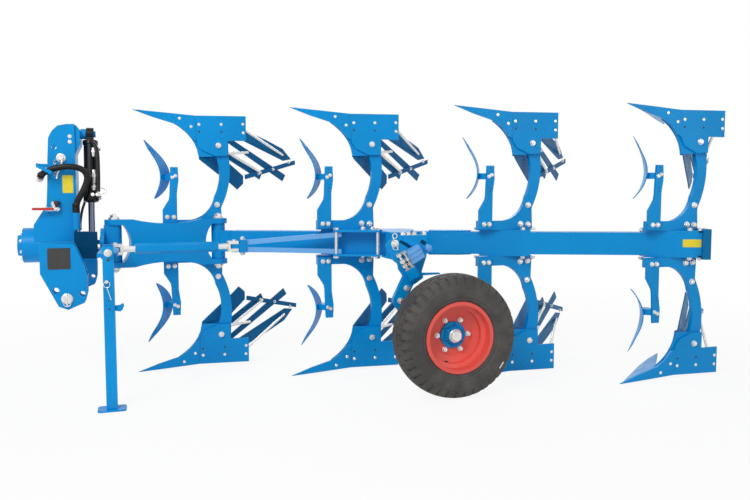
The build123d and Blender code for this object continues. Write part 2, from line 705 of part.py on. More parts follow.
# ---------------------------------------------------------------- parking stand
stand_x, stand_y = stand_place
stand_top = 36
with BuildPart() as stand_pin:
    with BuildSketch(Plane.XZ.offset(-stand_y - stand_side / 2 - 30)):
        with Locations((stand_x, 0)):
            Circle(stand_pin_radius)
    extrude(amount=stand_side + 60)
foot_thickness = 10
with BuildPart() as stand_tube:
    with BuildSketch(Plane(origin=(stand_x, stand_y, ground + foot_thickness))):
        Rectangle(stand_side, stand_side)
        Rectangle(stand_side - 10, stand_side - 10, mode=Mode.SUBTRACT)
    extrude(amount=stand_top - ground - foot_thickness)
    with BuildSketch(Plane.XZ.offset(-stand_y)):
        with Locations((stand_x, 0)):
            Circle(stand_pin_radius + fit)
    extrude(amount=stand_side, both=True, mode=Mode.SUBTRACT)

with BuildPart() as stand_foot:
    with BuildSketch(Plane(origin=(stand_x, stand_y, ground))):
        RectangleRounded(157, 110, 20)
    extrude(amount=foot_thickness)

# ---------------------------------------------------------------- headstock
cap_radius = 68
with BuildPart() as housing:
    with BuildSketch(across_axis.offset(housing_front)):
        Circle(housing_radius)
        Circle(shaft_radius + fit, mode=Mode.SUBTRACT)
    extrude(amount=housing_rear - housing_front)

with BuildPart() as front_cap:
    with BuildSketch(across_axis.offset(housing_front)):
        Circle(cap_radius)
    extrude(amount=-30)

with BuildPart() as crossbeam:
    with BuildSketch(Plane(origin=(crossbeam_x, turn_y - crossbeam_half, crossbeam_z), z_dir=(0, 1, 0))):
        Rectangle(crossbeam_side, crossbeam_side)
        Rectangle(crossbeam_side - 20, crossbeam_side - 20, mode=Mode.SUBTRACT)
    extrude(amount=2 * crossbeam_half)
    with BuildSketch(across_axis.offset(housing_front)):
        Circle(housing_radius)
    extrude(amount=housing_rear - housing_front + 10, mode=Mode.SUBTRACT)

ear_outline = [(-1104, 50), (-914, 33), (-866, -75), (-844, -157), (-846, -259), (-862, -318), (-955, -358),
               (-1007, -337), (-1104, -138)]
link_hole = (-1021, -241)
link_pin = (-960, -292)
stay_hole = (-874, -264)
with BuildPart() as bracket_ears:
    for side in (-1, 1):
        for offset in (-1, 1):
            centre = turn_y + side * link_span / 2 + offset * (ear_gap + ear_thickness) / 2
            with BuildSketch(Plane.XZ.offset(-centre - ear_thickness / 2)):
                Polygon(*ear_outline, align=None)
                with Locations((crossbeam_x, crossbeam_z)):
                    Rectangle(crossbeam_side, crossbeam_side, mode=Mode.SUBTRACT)
                with Locations(link_hole):
                    Circle(19, mode=Mode.SUBTRACT)
                with Locations(stay_hole):
                    Circle(16, mode=Mode.SUBTRACT)
                with Locations(link_pin):
                    Circle(link_pin_radius + fit, mode=Mode.SUBTRACT)
            extrude(amount=ear_thickness)

with BuildPart() as link_pins:
    for side in (-1, 1):
        centre = turn_y + side * link_span / 2
        with BuildSketch(Plane.XZ.offset(-centre - crossbeam_half + link_span / 2 - 14)):
            with Locations(link_pin):
                Circle(link_pin_radius)
        extrude(amount=2 * (crossbeam_half - link_span / 2 + 14))
        with BuildSketch(Plane.XZ.offset(-centre + crossbeam_half - link_span / 2 + 1)):
            with Locations(link_pin):
                Circle(link_pin_radius + 8)
        extrude(amount=12)

tower_outline = [(-1184, 30), (-1184, 135), (-1104, 262), (-1096, 389), (-1090, 560), (-1082, 690), (-1060, 734),
                 (-1026, 768), (-973, 780), (tower_rear, 780), (tower_rear, 30)]
top_holes = ((-1050, 632), (-1050, 442))
top_pin = (-1010, 562)
with BuildPart() as tower_plates:
    for side in (-1, 1):
        centre = turn_y + side * (tower_gap + tower_thickness) / 2
        with BuildSketch(Plane.XZ.offset(-centre - tower_thickness / 2)):
            Polygon(*tower_outline, align=None)
            with Locations(*top_holes, top_pin):
                Circle(16.2, mode=Mode.SUBTRACT)
        extrude(amount=tower_thickness)
    with BuildSketch(across_axis.offset(housing_front)):
        Circle(housing_radius)
    extrude(amount=600, mode=Mode.SUBTRACT)

head_reach = 30         # how far the tower's head stands behind its plates
with BuildPart() as tower_back:
    with BuildSketch(Plane.XZ.offset(-turn_y)):
        with BuildLine():
            Polyline((tower_rear - 18, housing_radius + 1), (tower_rear, housing_radius + 1), (tower_rear, 590),
                     (tower_rear + head_reach, 650), (tower_rear + head_reach, 735))
            ThreePointArc((tower_rear + head_reach, 735), (tower_rear + head_reach - 14, 766), (tower_rear - 18, 784))
            Line((tower_rear - 18, 784), (tower_rear - 18, housing_radius + 1))
        make_face()
    extrude(amount=tower_gap / 2, both=True)

with BuildPart() as top_link_pin:
    with BuildSketch(Plane.XZ.offset(-turn_y - tower_gap / 2 - tower_thickness - 20)):
        with Locations(top_pin):
            Circle(15.9)
    extrude(amount=tower_gap + 2 * tower_thickness + 50)

with BuildPart() as ram_lug:
    with BuildSketch(Plane(origin=(tower_rear + head_reach, turn_y, ram_top), z_dir=(1, 0, 0))):
        Circle(34)
    extrude(amount=ram_plane[0] - 3 - tower_rear - head_reach)
    with BuildSketch(Plane(origin=(tower_rear + head_reach, turn_y, ram_top), z_dir=(1, 0, 0))):
        Circle(20)
    extrude(amount=ram_plane[1] + 12 - tower_rear - head_reach)

guard_inside = crank_radius + ram_eye_radius + 10
guard_wall = 8
guard_top = 90
guard_bottom = 85
guard_rear = ram_plane[1] + 14
tower_half = tower_gap / 2 + tower_thickness
tower_face = turn_y - tower_half
pipe_x = -927
pipe_bottom = 104
with BuildPart() as ram_guard:
    with BuildSketch(across_axis.offset(housing_rear - 12)):
        Circle(guard_inside + guard_wall)
        with Locations((-(guard_inside + guard_wall) / 2, guard_top / 2)):
            Rectangle(guard_inside + guard_wall, guard_top)
        with Locations((guard_inside, 0)):
            Rectangle(2 * guard_inside, 4 * guard_inside, mode=Mode.SUBTRACT)
        with Locations((0, 2 * guard_inside)):
            Rectangle(4 * guard_inside, 4 * guard_inside - 2 * guard_top, mode=Mode.SUBTRACT)
        with Locations((0, -guard_bottom - guard_inside)):
            Rectangle(4 * guard_inside, 2 * guard_inside, mode=Mode.SUBTRACT)
    extrude(amount=guard_rear - housing_rear + 12)
    with BuildSketch(across_axis.offset(housing_rear)):
        Circle(guard_inside)
        with Locations((-guard_inside / 2, guard_top)):
            Rectangle(guard_inside, 2 * guard_top)
    extrude(amount=guard_rear - housing_rear + 1, mode=Mode.SUBTRACT)
    with BuildSketch(across_axis.offset(housing_front)):
        Circle(housing_radius)
        with Locations((-tower_half / 2, guard_top)):
            Rectangle(tower_half, 2 * guard_top)
    extrude(amount=housing_rear - housing_front, mode=Mode.SUBTRACT)
    add(crossbeam.part, mode=Mode.SUBTRACT)

hose_radius = 20
hose_stand = 26         # from the tower's face to the stand pipe's middle
pipe_top = 212
with BuildPart() as stand_pipe:
    with BuildSketch(Plane(origin=(pipe_x, tower_face - hose_stand, pipe_bottom))):
        Circle(23)
    extrude(amount=pipe_top - pipe_bottom)
    with BuildSketch(Plane(origin=(pipe_x - 8, tower_face - hose_stand / 2, pipe_bottom + 36))):
        Rectangle(30, hose_stand)
    extrude(amount=54)

hose_route = [
    (-1134, tower_face + 8, 444), (-1122, tower_face - 34, 460), (-1072, tower_face - 54, 486),
    (-1004, tower_face - 58, 505), (-930, tower_face - 56, 507), (-872, tower_face - 42, 488),
    (-850, tower_face - 34, 440), (-866, tower_face - 32, 384), (-898, tower_face - 31, 322),
    (pipe_x, tower_face - hose_stand, 268), (pipe_x, tower_face - hose_stand, pipe_top),
]
hose_bends = []
for before, corner, after in zip(hose_route, hose_route[1:], hose_route[2:]):
    arriving = Vector(*corner) - Vector(*before)
    leaving = Vector(*after) - Vector(*corner)
    turn = radians(arriving.get_angle(leaving))
    hose_bends.append(0.45 * min(arriving.length, leaving.length) / tan(turn / 2))
with BuildPart() as hose:
    with BuildLine():
        hose_line = FilletPolyline(*hose_route, radius=hose_bends)
    with BuildSketch(Plane(origin=hose_line @ 0, z_dir=hose_line % 0)):
        Circle(hose_radius)
    sweep()
print("hose radii", [round(bend) for bend in hose_bends], "length", round(hose_line.length),
      "volume share", round(hose.part.volume / (pi * hose_radius ** 2 * hose_line.length), 4))

holder_wall = 8
holder_front = -1146
holder_face = tower_face - 92
with BuildPart() as hose_holder:
    with BuildSketch(Plane.XZ.offset(-tower_face)):
        Polygon((holder_front, 500), (-1050, 500), (-1050, 524), (holder_front, 524), align=None)
    extrude(amount=holder_wall)
    with BuildSketch(Plane(origin=(holder_front + holder_wall / 2, (tower_face + holder_face) / 2, 512))):
        Rectangle(holder_wall, tower_face - holder_face)
    extrude(amount=12, both=True)
    with BuildSketch(Plane.XZ.offset(-holder_face)):
        Polygon((holder_front, 500), (-1066, 456), (-1052, 474), (holder_front, 524), align=None)
    extrude(amount=holder_wall)

valve_place = (-1068, 236)
valve_stand = 18
with BuildPart() as ball_valve:
    valve_start = (valve_place[0] - 34, tower_face - valve_stand, valve_place[1])
    with BuildSketch(Plane(origin=valve_start, z_dir=(1, 0, 0))):
        Circle(15)
    extrude(amount=68)
    with BuildSketch(Plane(origin=(valve_place[0] + 8, tower_face - valve_stand, valve_place[1]))):
        Circle(12)
    extrude(amount=48)
    with BuildSketch(Plane.XZ.offset(-tower_face)):
        with Locations((valve_place[0] + 8, valve_place[1] + 34)):
            Rectangle(30, 14)
    extrude(amount=valve_stand)
    with BuildSketch(Plane.XZ.offset(-tower_face + valve_stand)):
        with Locations(valve_place):
            Circle(7)
    extrude(amount=26)

with BuildPart() as valve_lever:
    with BuildSketch(Plane.XZ.offset(-tower_face + valve_stand + 26)):
        with Locations((valve_place[0] - 52, valve_place[1] + 2)):
            SlotOverall(130, 16)
    extrude(amount=5)

# ---------------------------------------------------------------- turnover ram
lean = radians(ram_tilt)
ram_down = Plane(origin=(ram_x, turn_y, ram_top), x_dir=(1, 0, 0), z_dir=(0, -sin(lean), -cos(lean)))
barrel_start = 50
barrel_end = 450
with BuildPart() as ram_barrel:
    with BuildSketch(ram_down.offset(barrel_start)):
        Circle(ram_radius)
    extrude(amount=barrel_end - barrel_start)
    with BuildSketch(ram_down.offset(10)):
        Rectangle(ram_eye_width, 64)
    extrude(amount=barrel_start - 6)
    with BuildSketch(Plane(origin=(ram_plane[0], turn_y, ram_top), z_dir=(1, 0, 0))):
        Circle(42)
    extrude(amount=ram_eye_width)
    with BuildSketch(ram_down.offset(barrel_start + 20)):
        Circle(ram_radius - 8)
    extrude(amount=barrel_end - barrel_start - 40, mode=Mode.SUBTRACT)
    with BuildSketch(ram_down.offset(barrel_end - 40)):
        Circle(ram_rod_radius + fit)
    extrude(amount=60, mode=Mode.SUBTRACT)
    with BuildSketch(Plane(origin=(ram_plane[0] - 1, turn_y, ram_top), z_dir=(1, 0, 0))):
        Circle(20 + fit)
    extrude(amount=ram_eye_width + 2, mode=Mode.SUBTRACT)

with BuildPart() as ram_rod:
    with BuildSketch(ram_down.offset(barrel_end - 60)):
        Circle(ram_radius - 8 - fit)
    extrude(amount=30)
    with BuildSketch(ram_down.offset(barrel_end - 60)):
        Circle(ram_rod_radius)
    extrude(amount=ram_length - barrel_end + 60)
    with BuildSketch(Plane(origin=(ram_plane[0], *crank_pin), z_dir=(1, 0, 0))):
        Circle(ram_eye_radius)
    extrude(amount=ram_eye_width)
    with BuildSketch(Plane(origin=(ram_plane[0] - 1, *crank_pin), z_dir=(1, 0, 0))):
        Circle(ram_pin_radius + fit)
    extrude(amount=ram_eye_width + 2, mode=Mode.SUBTRACT)

# ---------------------------------------------------------------- finished pieces
pieces = {
    "housing": housing, "front_cap": front_cap, "crossbeam": crossbeam, "bracket_ears": bracket_ears,
    "link_pins": link_pins, "tower_plates": tower_plates, "tower_back": tower_back,
    "top_link_pin": top_link_pin, "ram_lug": ram_lug, "ram_guard": ram_guard, "stand_pipe": stand_pipe,
    "hose": hose, "hose_holder": hose_holder, "ball_valve": ball_valve, "valve_lever": valve_lever,
    "ram_barrel": ram_barrel, "ram_rod": ram_rod,
    "rotor": rotor, "lug_plate": lug_plate, "link_frame": link_frame, "hinge_pins": hinge_pins,
    "turnbuckle": turnbuckle, "screw_ends": screw_ends, "screw_pins": screw_pins, "draw_block": draw_block,
    "draw_arms": draw_arms, "clamp_plates": clamp_plates, "clamp_bolts": clamp_bolts,
    "main_beam": main_beam, "beam_doublers": beam_doublers, "beam_nose": beam_nose, "beam_end": beam_end,
    "bases": bases, "legs": legs,
    "frogs": frogs, "landsides": landsides, "points": points, "shares": shares, "breasts": breasts,
    "slats": slats, "braces": braces, "slat_bars": slat_bars, "skimmer_stems": stems,
    "skimmer_boards": skimmer_boards, "skimmer_shares": skimmer_shares, "skimmer_brackets": skimmer_brackets,
    "wheel_bracket": wheel_bracket,
    "arm_buffer": arm_buffer, "arm_stop": arm_stop, "wheel_arm": wheel_arm, "axle": axle,
    "hub": hub, "rim": rim, "tyre": tyre, "stand_tube": stand_tube, "stand_foot": stand_foot,
    "stand_pin": stand_pin,
}
corners = Compound(children=[Compound(made.part.solids()) for made in pieces.values()]).bounding_box()
middle = corners.center()
to_standing = Location((-middle.X, -middle.Y, axis_height))
os.makedirs("parts", exist_ok=True)
for name, made in pieces.items():
    standing = made.part.moved(to_standing)
    standing.label = name
    export_step(standing, f"parts/{name}.step")
print("moved by", to_standing.position, "size", corners.size)
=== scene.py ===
"""Four-furrow reversible plough: finishes, fasteners, tyre and studio around its CAD frame.

The CAD nodes give every structural piece. This script paints them, replaces the plain tyre
with a treaded one, adds bolts, nuts, pins, rings, plates and other trim, and lights the plough.
Lengths in the dataclasses are millimetres in the plough's working frame, which the CAD uses
too: x = y = 0 is the frog bolt of the first body and z = 0 is the turnover axis.
"""
import json
import logging
import math
from dataclasses import dataclass, field
from enum import Enum
from typing import Callable, Iterable, Optional, Sequence

import bmesh
import bpy
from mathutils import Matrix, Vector


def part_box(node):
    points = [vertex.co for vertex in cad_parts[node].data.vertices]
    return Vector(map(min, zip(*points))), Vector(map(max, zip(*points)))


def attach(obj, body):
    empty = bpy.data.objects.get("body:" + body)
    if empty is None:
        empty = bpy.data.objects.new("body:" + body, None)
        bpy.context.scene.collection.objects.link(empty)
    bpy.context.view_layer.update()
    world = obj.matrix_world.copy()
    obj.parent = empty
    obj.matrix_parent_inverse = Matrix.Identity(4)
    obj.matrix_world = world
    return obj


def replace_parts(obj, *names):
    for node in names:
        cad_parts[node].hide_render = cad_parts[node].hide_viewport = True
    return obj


log = logging.getLogger("plough")
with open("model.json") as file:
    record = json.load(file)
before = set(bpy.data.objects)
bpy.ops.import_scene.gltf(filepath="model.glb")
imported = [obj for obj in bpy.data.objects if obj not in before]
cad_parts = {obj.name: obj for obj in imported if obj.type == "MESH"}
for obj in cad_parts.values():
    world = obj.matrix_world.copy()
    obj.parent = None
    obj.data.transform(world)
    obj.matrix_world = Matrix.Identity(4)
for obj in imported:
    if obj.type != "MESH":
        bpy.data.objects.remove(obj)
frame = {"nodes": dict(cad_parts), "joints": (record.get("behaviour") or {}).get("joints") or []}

MM = 0.001
Point = tuple[float, float, float]
Pair = tuple[float, float]
Socket = bpy.types.NodeSocket
NEAR, FAR = Vector((0, -1, 0)), Vector((0, 1, 0))
FORWARD, REARWARD = Vector((-1, 0, 0)), Vector((1, 0, 0))
UP = Vector((0, 0, 1))


class Body(Enum):
    """The moving bodies that pieces ride on."""

    HEADSTOCK = "headstock"
    BARREL = "ram_barrel"
    PLOUGH = "plough_frame"
    WHEEL_ARM = "wheel_arm"
    WHEEL = "wheel"
    STAND = "stand"


class Slot(Enum):
    """The record's material slots."""

    BLUE = "blue_paint"
    BLACK = "black_paint"
    RED = "red_paint"
    ZINC = "zinc"
    CHROME = "chrome"
    RUBBER = "tyre"


# ---------------------------------------------------------------- the working frame
def joint(name: str) -> dict:
    """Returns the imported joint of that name."""
    return next(j for j in frame["joints"] if j["name"] == name)


@dataclass(frozen=True)
class Datum:
    """Places working-frame points, in millimetres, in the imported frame, in metres."""

    axis_x: float = -1000.0
    axis_y: float = -95.0

    def shift(self) -> Vector:
        """Returns the working frame's origin, from the turnover joint's place."""
        return Vector(joint("turnover_turn")["pos_m"]) - Vector((self.axis_x, self.axis_y,
                                                                 0.0)) * MM

    def at(self, x: float, y: float, z: float) -> Vector:
        """Returns the packed-frame place of a working-frame point."""
        return self.shift() + Vector((x, y, z)) * MM


DATUM = Datum()


def moved(place: Vector, x: float, y: float, z: float) -> Vector:
    """Returns a packed-frame place moved by some millimetres."""
    return place + Vector((x, y, z)) * MM


def slanted(degrees: float) -> tuple[Vector, Vector]:
    """Returns the directions along and across a slant, in the upright plane along the plough.

    Args:
        degrees: the slant from level, rising to the rear.
    """
    angle = math.radians(degrees)
    return Vector((math.cos(angle), 0, math.sin(angle))), Vector((-math.sin(angle), 0,
                                                                  math.cos(angle)))


def angles(sides: int, start: float = 0.0) -> list[float]:
    """Returns equal turns round a circle, in radians."""
    return [start + 2 * math.pi * side / sides for side in range(sides)]


def add_object(name: str, data: bpy.types.ID) -> bpy.types.Object:
    """Returns a new object for some data, in the scene."""
    made = bpy.data.objects.new(name, data)
    bpy.context.scene.collection.objects.link(made)
    return made


# ---------------------------------------------------------------- finishes
@dataclass(frozen=True)
class NodeKit:
    """Small helpers round the node tree of a material or the world."""

    tree: bpy.types.NodeTree

    def fill(self, node: bpy.types.Node, inputs: dict) -> None:
        """Fills a node's inputs.

        Args:
            node: the node.
            inputs: the socket to link, or the value to set, by the input's name or number.
        """
        for key, value in inputs.items():
            if isinstance(value, Socket):
                self.tree.links.new(value, node.inputs[key])
            else:
                node.inputs[key].default_value = value

    def node(self, kind: str, inputs: Optional[dict] = None, **values: object) -> bpy.types.Node:
        """Adds a node.

        Args:
            kind: the node's Blender type.
            inputs: what goes into it, as in fill.
            values: attributes to set on it.

        Returns:
            The new node.
        """
        node = self.tree.nodes.new(kind)
        for name, value in values.items():
            setattr(node, name, value)
        self.fill(node, inputs or {})
        return node

    def calc(self, operation: str, first: Socket, second: Socket) -> Socket:
        """Returns one value worked out from two."""
        return self.node("ShaderNodeMath", {0: first, 1: second}, operation=operation).outputs[0]

    def noise(self, scale: float, detail: float = 3.0, rough: float = 0.5) -> Socket:
        """Adds a noise over the object's own coordinates.

        Args:
            scale: cells in a metre.
            detail: octaves.
            rough: weight of the fine octaves.

        Returns:
            The noise's value.
        """
        place = self.tree.nodes.get("place") or self.node("ShaderNodeTexCoord", name="place")
        return self.node("ShaderNodeTexNoise",
                         {"Scale": scale, "Detail": detail, "Roughness": rough,
                                                "Vector": place.outputs["Object"]}).outputs["Fac"]

    def spread(self, value: Socket, low: float, high: float, to_low: float = 0.0,
               to_high: float = 1.0) -> Socket:
        """Returns a value with its range from low to high mapped onto another range, clamped."""
        return self.node("ShaderNodeMapRange", {"Value": value, "From Min": low, "From Max": high,
                                                "To Min": to_low,
                                                "To Max": to_high}).outputs["Result"]

    def mix(self, factor: Socket, first: object, second: object) -> Socket:
        """Returns a mix of two colours, each a colour socket or an RGB triple."""
        under, over = (c if isinstance(c, Socket) else (*c, 1.0) for c in (first, second))
        return self.node("ShaderNodeMix", {"Factor": factor, 6: under, 7: over},
                         data_type="RGBA").outputs[2]

    def rounded_normal(self, radius: float) -> Socket:
        """Returns the normal that sharp edges would have if rounded to a radius, in metres."""
        return self.node("ShaderNodeBevel", {"Radius": radius}, samples=4).outputs["Normal"]

    def edges(self, radius: float) -> Socket:
        """Marks the pieces' outer edges, where paint wears first.

        Args:
            radius: how far from the edge the mark reaches, in metres.

        Returns:
            A value of 1 on sharp edges and 0 on flat faces.
        """
        true = self.node("ShaderNodeNewGeometry").outputs["Normal"]
        dot = self.node("ShaderNodeVectorMath", {0: self.rounded_normal(radius), 1: true},
                        operation="DOT_PRODUCT")
        return self.spread(dot.outputs["Value"], 0.985, 0.90)

    def bump(self, height: Socket, strength: float, distance: float,
             round_edges: float = 0.0) -> Socket:
        """Turns a height into a normal.

        Args:
            height: the height.
            strength: how strong the bump is.
            distance: its depth in metres.
            round_edges: the radius that sharp edges appear rounded to, in metres.

        Returns:
            The normal.
        """
        inputs = {"Strength": strength, "Distance": distance, "Height": height}
        if round_edges:
            inputs["Normal"] = self.rounded_normal(round_edges)
        return self.node("ShaderNodeBump", inputs).outputs["Normal"]

    def backdrop_rays(self) -> Socket:
        """Returns 1 for the rays that see the plain background: camera, glossy, transmission."""
        ray = self.node("ShaderNodeLightPath")
        shown = ray.outputs["Is Camera Ray"]
        for kind in ("Is Glossy Ray", "Is Transmission Ray"):
            shown = self.calc("MAXIMUM", shown, ray.outputs[kind])
        return shown

    def show(self, share: Socket, lit: Socket, plain: Socket, output: str) -> None:
        """Sends a mix of two shaders to the tree's output.

        Args:
            share: how much of the plain one shows.
            lit: the shader that the lamps see.
            plain: the shader that the background rays see.
            output: the output node's name.
        """
        blend = self.node("ShaderNodeMixShader", {"Fac": share, 1: lit, 2: plain})
        self.fill(self.tree.nodes[output], {"Surface": blend.outputs["Shader"]})


@dataclass(frozen=True)
class Finish:
    """A surface finish: its name, its record slot and its plain shader values."""

    name: str
    slot: Slot
    colour: Point
    roughness: float = 0.4
    metallic: float = 0.0
    coat: float = 0.0
    specular: float = 0.5
    coat_roughness: float = 0.12

    def material(self) -> bpy.types.Material:
        """Returns the finish's material, made the first time it is asked for."""
        ready = bpy.data.materials.get(self.name)
        if ready is not None:
            return ready
        made = bpy.data.materials.new(self.name)
        made.use_nodes = True
        kit = NodeKit(made.node_tree)
        shader = made.node_tree.nodes["Principled BSDF"]
        kit.fill(shader, {"Base Color": (*self.colour, 1.0), "Roughness": self.roughness,
                          "Metallic": self.metallic, "Coat Weight": self.coat,
                          "Coat Roughness": self.coat_roughness,
                          "Specular IOR Level": self.specular})
        kit.fill(shader, self.detail(kit))
        return made

    def detail(self, kit: NodeKit) -> dict[str, Socket]:
        """Returns the finish's grain, wear and bump, by the shader input that each goes to."""
        return {}


@dataclass(frozen=True)
class Paint(Finish):
    """Sprayed gloss paint with faint cloudy patches of painted reflection, orange peel, dust and
    worn edges.
    """

    shade: float = 0.86
    wear: float = 0.5
    bare: Point = (0.36, 0.45, 0.52)

    def detail(self, kit: NodeKit) -> dict[str, Socket]:
        """Returns colour with cloudy patches of painted reflection, scuffs, worn edges, uneven gloss
        and orange peel.
        """
        # The cloud mixes the colour with a darker copy of it in soft patches: painted reflection,
        # standing in for the light patches that gloss paint mirrors.
        cloud = kit.spread(kit.noise(2.2, 2.0), 0.35, 0.68)
        base = kit.mix(cloud, tuple(c * self.shade for c in self.colour), self.colour)
        scuff = kit.spread(kit.noise(38.0, 6.0, 0.62), 0.63, 0.78, 0.0, 0.16)
        dusty = kit.mix(scuff, base, tuple(0.70 * c + 0.16 for c in self.colour))
        worn = kit.calc("MULTIPLY", kit.edges(0.0016), kit.spread(kit.noise(60.0, 4.0), 0.50, 0.66))
        amount = kit.spread(worn, 0.0, 1.0, 0.0, self.wear)
        gloss = kit.spread(kit.noise(9.0, 4.0), 0.3, 0.75, self.roughness - 0.06,
                           self.roughness + 0.12)
        return {"Base Color": kit.mix(amount, dusty, self.bare), "Roughness": gloss,
                "Normal": kit.bump(kit.noise(420.0, 2.0), 0.10, 0.0006, 0.0022)}


@dataclass(frozen=True)
class Plated(Finish):
    """Zinc or chrome plate with a slightly patchy sheen."""

    tint: Point = (0.80, 0.74, 0.60)
    patch: float = 26.0

    def detail(self, kit: NodeKit) -> dict[str, Socket]:
        """Returns a patchy tint, a patchy sheen and fine pitting."""
        patches = kit.spread(kit.noise(self.patch, 4.0, 0.6), 0.42, 0.72)
        tinted = tuple(a * b for a, b in zip(self.colour, self.tint))
        sheen = kit.spread(kit.noise(55.0, 3.0), 0.3, 0.7, self.roughness * 0.75,
                           self.roughness * 1.35)
        return {"Base Color": kit.mix(patches, self.colour, tinted), "Roughness": sheen,
                "Normal": kit.bump(kit.noise(700.0, 2.0), 0.12, 0.0003, 0.0012)}


@dataclass(frozen=True)
class Rubber(Finish):
    """Matt tyre or hose rubber with dusty patches."""

    dust: Point = (0.16, 0.145, 0.125)
    dusty: float = 0.55

    def detail(self, kit: NodeKit) -> dict[str, Socket]:
        """Returns dusty patches, faint streaks and a leathery grain."""
        patches = kit.spread(kit.noise(7.0, 6.0, 0.65), 0.42, 0.74, 0.0, self.dusty)
        dirt = kit.calc("MAXIMUM", patches, kit.spread(kit.noise(90.0, 3.0), 0.55, 0.8, 0.0, 0.25))
        return {"Base Color": kit.mix(dirt, self.colour, self.dust),
                "Roughness": kit.spread(dirt, 0.0, 0.6, self.roughness - 0.1,
                                        self.roughness + 0.12),
                "Normal": kit.bump(kit.noise(260.0, 4.0, 0.6), 0.25, 0.0008)}


@dataclass(frozen=True)
class Moulded(Finish):
    """Moulded plastic or printed film with a fine even grain."""

    grain: float = 900.0

    def detail(self, kit: NodeKit) -> dict[str, Socket]:
        """Returns a slight colour change and a fine grain."""
        cloud = kit.spread(kit.noise(14.0, 3.0), 0.35, 0.7)
        return {"Base Color": kit.mix(cloud, tuple(c * 0.88 for c in self.colour), self.colour),
                "Normal": kit.bump(kit.noise(self.grain, 1.0), 0.08, 0.0003)}


BLUE = Paint("gloss_blue", Slot.BLUE, (0.0, 0.305, 0.720), 0.30, coat=0.02, specular=0.18)
# This blue is the paint in deep shade: painted shade for the ram guard and for the dark patches on
# the wheel arm's head.
DEEP_SHADE_BLUE = Paint("blue_deep_painted_shade", Slot.BLUE, (0.0, 0.060, 0.150), 0.46, coat=0.01, specular=0.08)
# This blue is the paint made darker and greyer: painted shade for the slats, the slat bars and the
# beam's end block, whose faces are turned from the light.
SHADED_BLUE = Paint("blue_with_painted_shade", Slot.BLUE, (0.002, 0.175, 0.400), 0.40, coat=0.02, specular=0.12,
                   wear=0.6)
LIGHT_BLUE = Paint("light_blue", Slot.BLUE, (0.160, 0.440, 0.850), 0.36, coat=0.1, specular=0.3)
RED = Paint("gloss_red", Slot.RED, (0.860, 0.105, 0.078), 0.30, coat=0.15, specular=0.35, wear=0.25,
            bare=(0.62, 0.30, 0.28))
BLACK = Paint("gloss_black", Slot.BLACK, (0.006, 0.006, 0.007), 0.30, coat=0.05, specular=0.2,
              wear=0.2, bare=(0.10, 0.10, 0.11))
ZINC = Plated("zinc_plate", Slot.ZINC, (0.80, 0.80, 0.79), 0.30, metallic=0.85,
              tint=(0.84, 0.81, 0.73))
# The chrome's dark navy colour is painted reflection: it stands in for the dark surroundings that
# the polished ram rod mirrors.
CHROME = Plated("chrome_painted_dark_reflection", Slot.CHROME, (0.13, 0.15, 0.20), 0.10, metallic=1.0,
                tint=(0.97, 0.97, 0.99))
RUBBER = Rubber("tyre_rubber", Slot.RUBBER, (0.040, 0.037, 0.035), 0.72)
HOSE = Rubber("hose_rubber", Slot.BLACK, (0.007, 0.007, 0.007), 0.50, specular=0.25,
              dust=(0.07, 0.065, 0.06), dusty=0.2)
YELLOW = Moulded("yellow_film", Slot.BLUE, (0.90, 0.72, 0.03), 0.38)
PALE = Moulded("pale_film", Slot.RUBBER, (0.80, 0.79, 0.76), 0.5)
# This dark finish is plastic on the plugs, the valve and its cap, and painted shade on the holes in
# the stand and the skimmer stems.
DARK = Moulded("dark_plugs_and_hole_shade", Slot.BLACK, (0.050, 0.048, 0.046), 0.72, grain=300.0)
RED_GRIP = Moulded("red_grip", Slot.RED, (0.62, 0.030, 0.030), 0.34)


def paint_nodes(finish: Finish, nodes: str) -> None:
    """Gives CAD nodes a finish.

    Args:
        finish: the finish.
        nodes: the CAD nodes' names, with spaces between them.
    """
    for name in nodes.split():
        materials = frame["nodes"][name].data.materials
        materials.clear()
        materials.append(finish.material())
    log.info("%s on %s", finish.name, nodes)


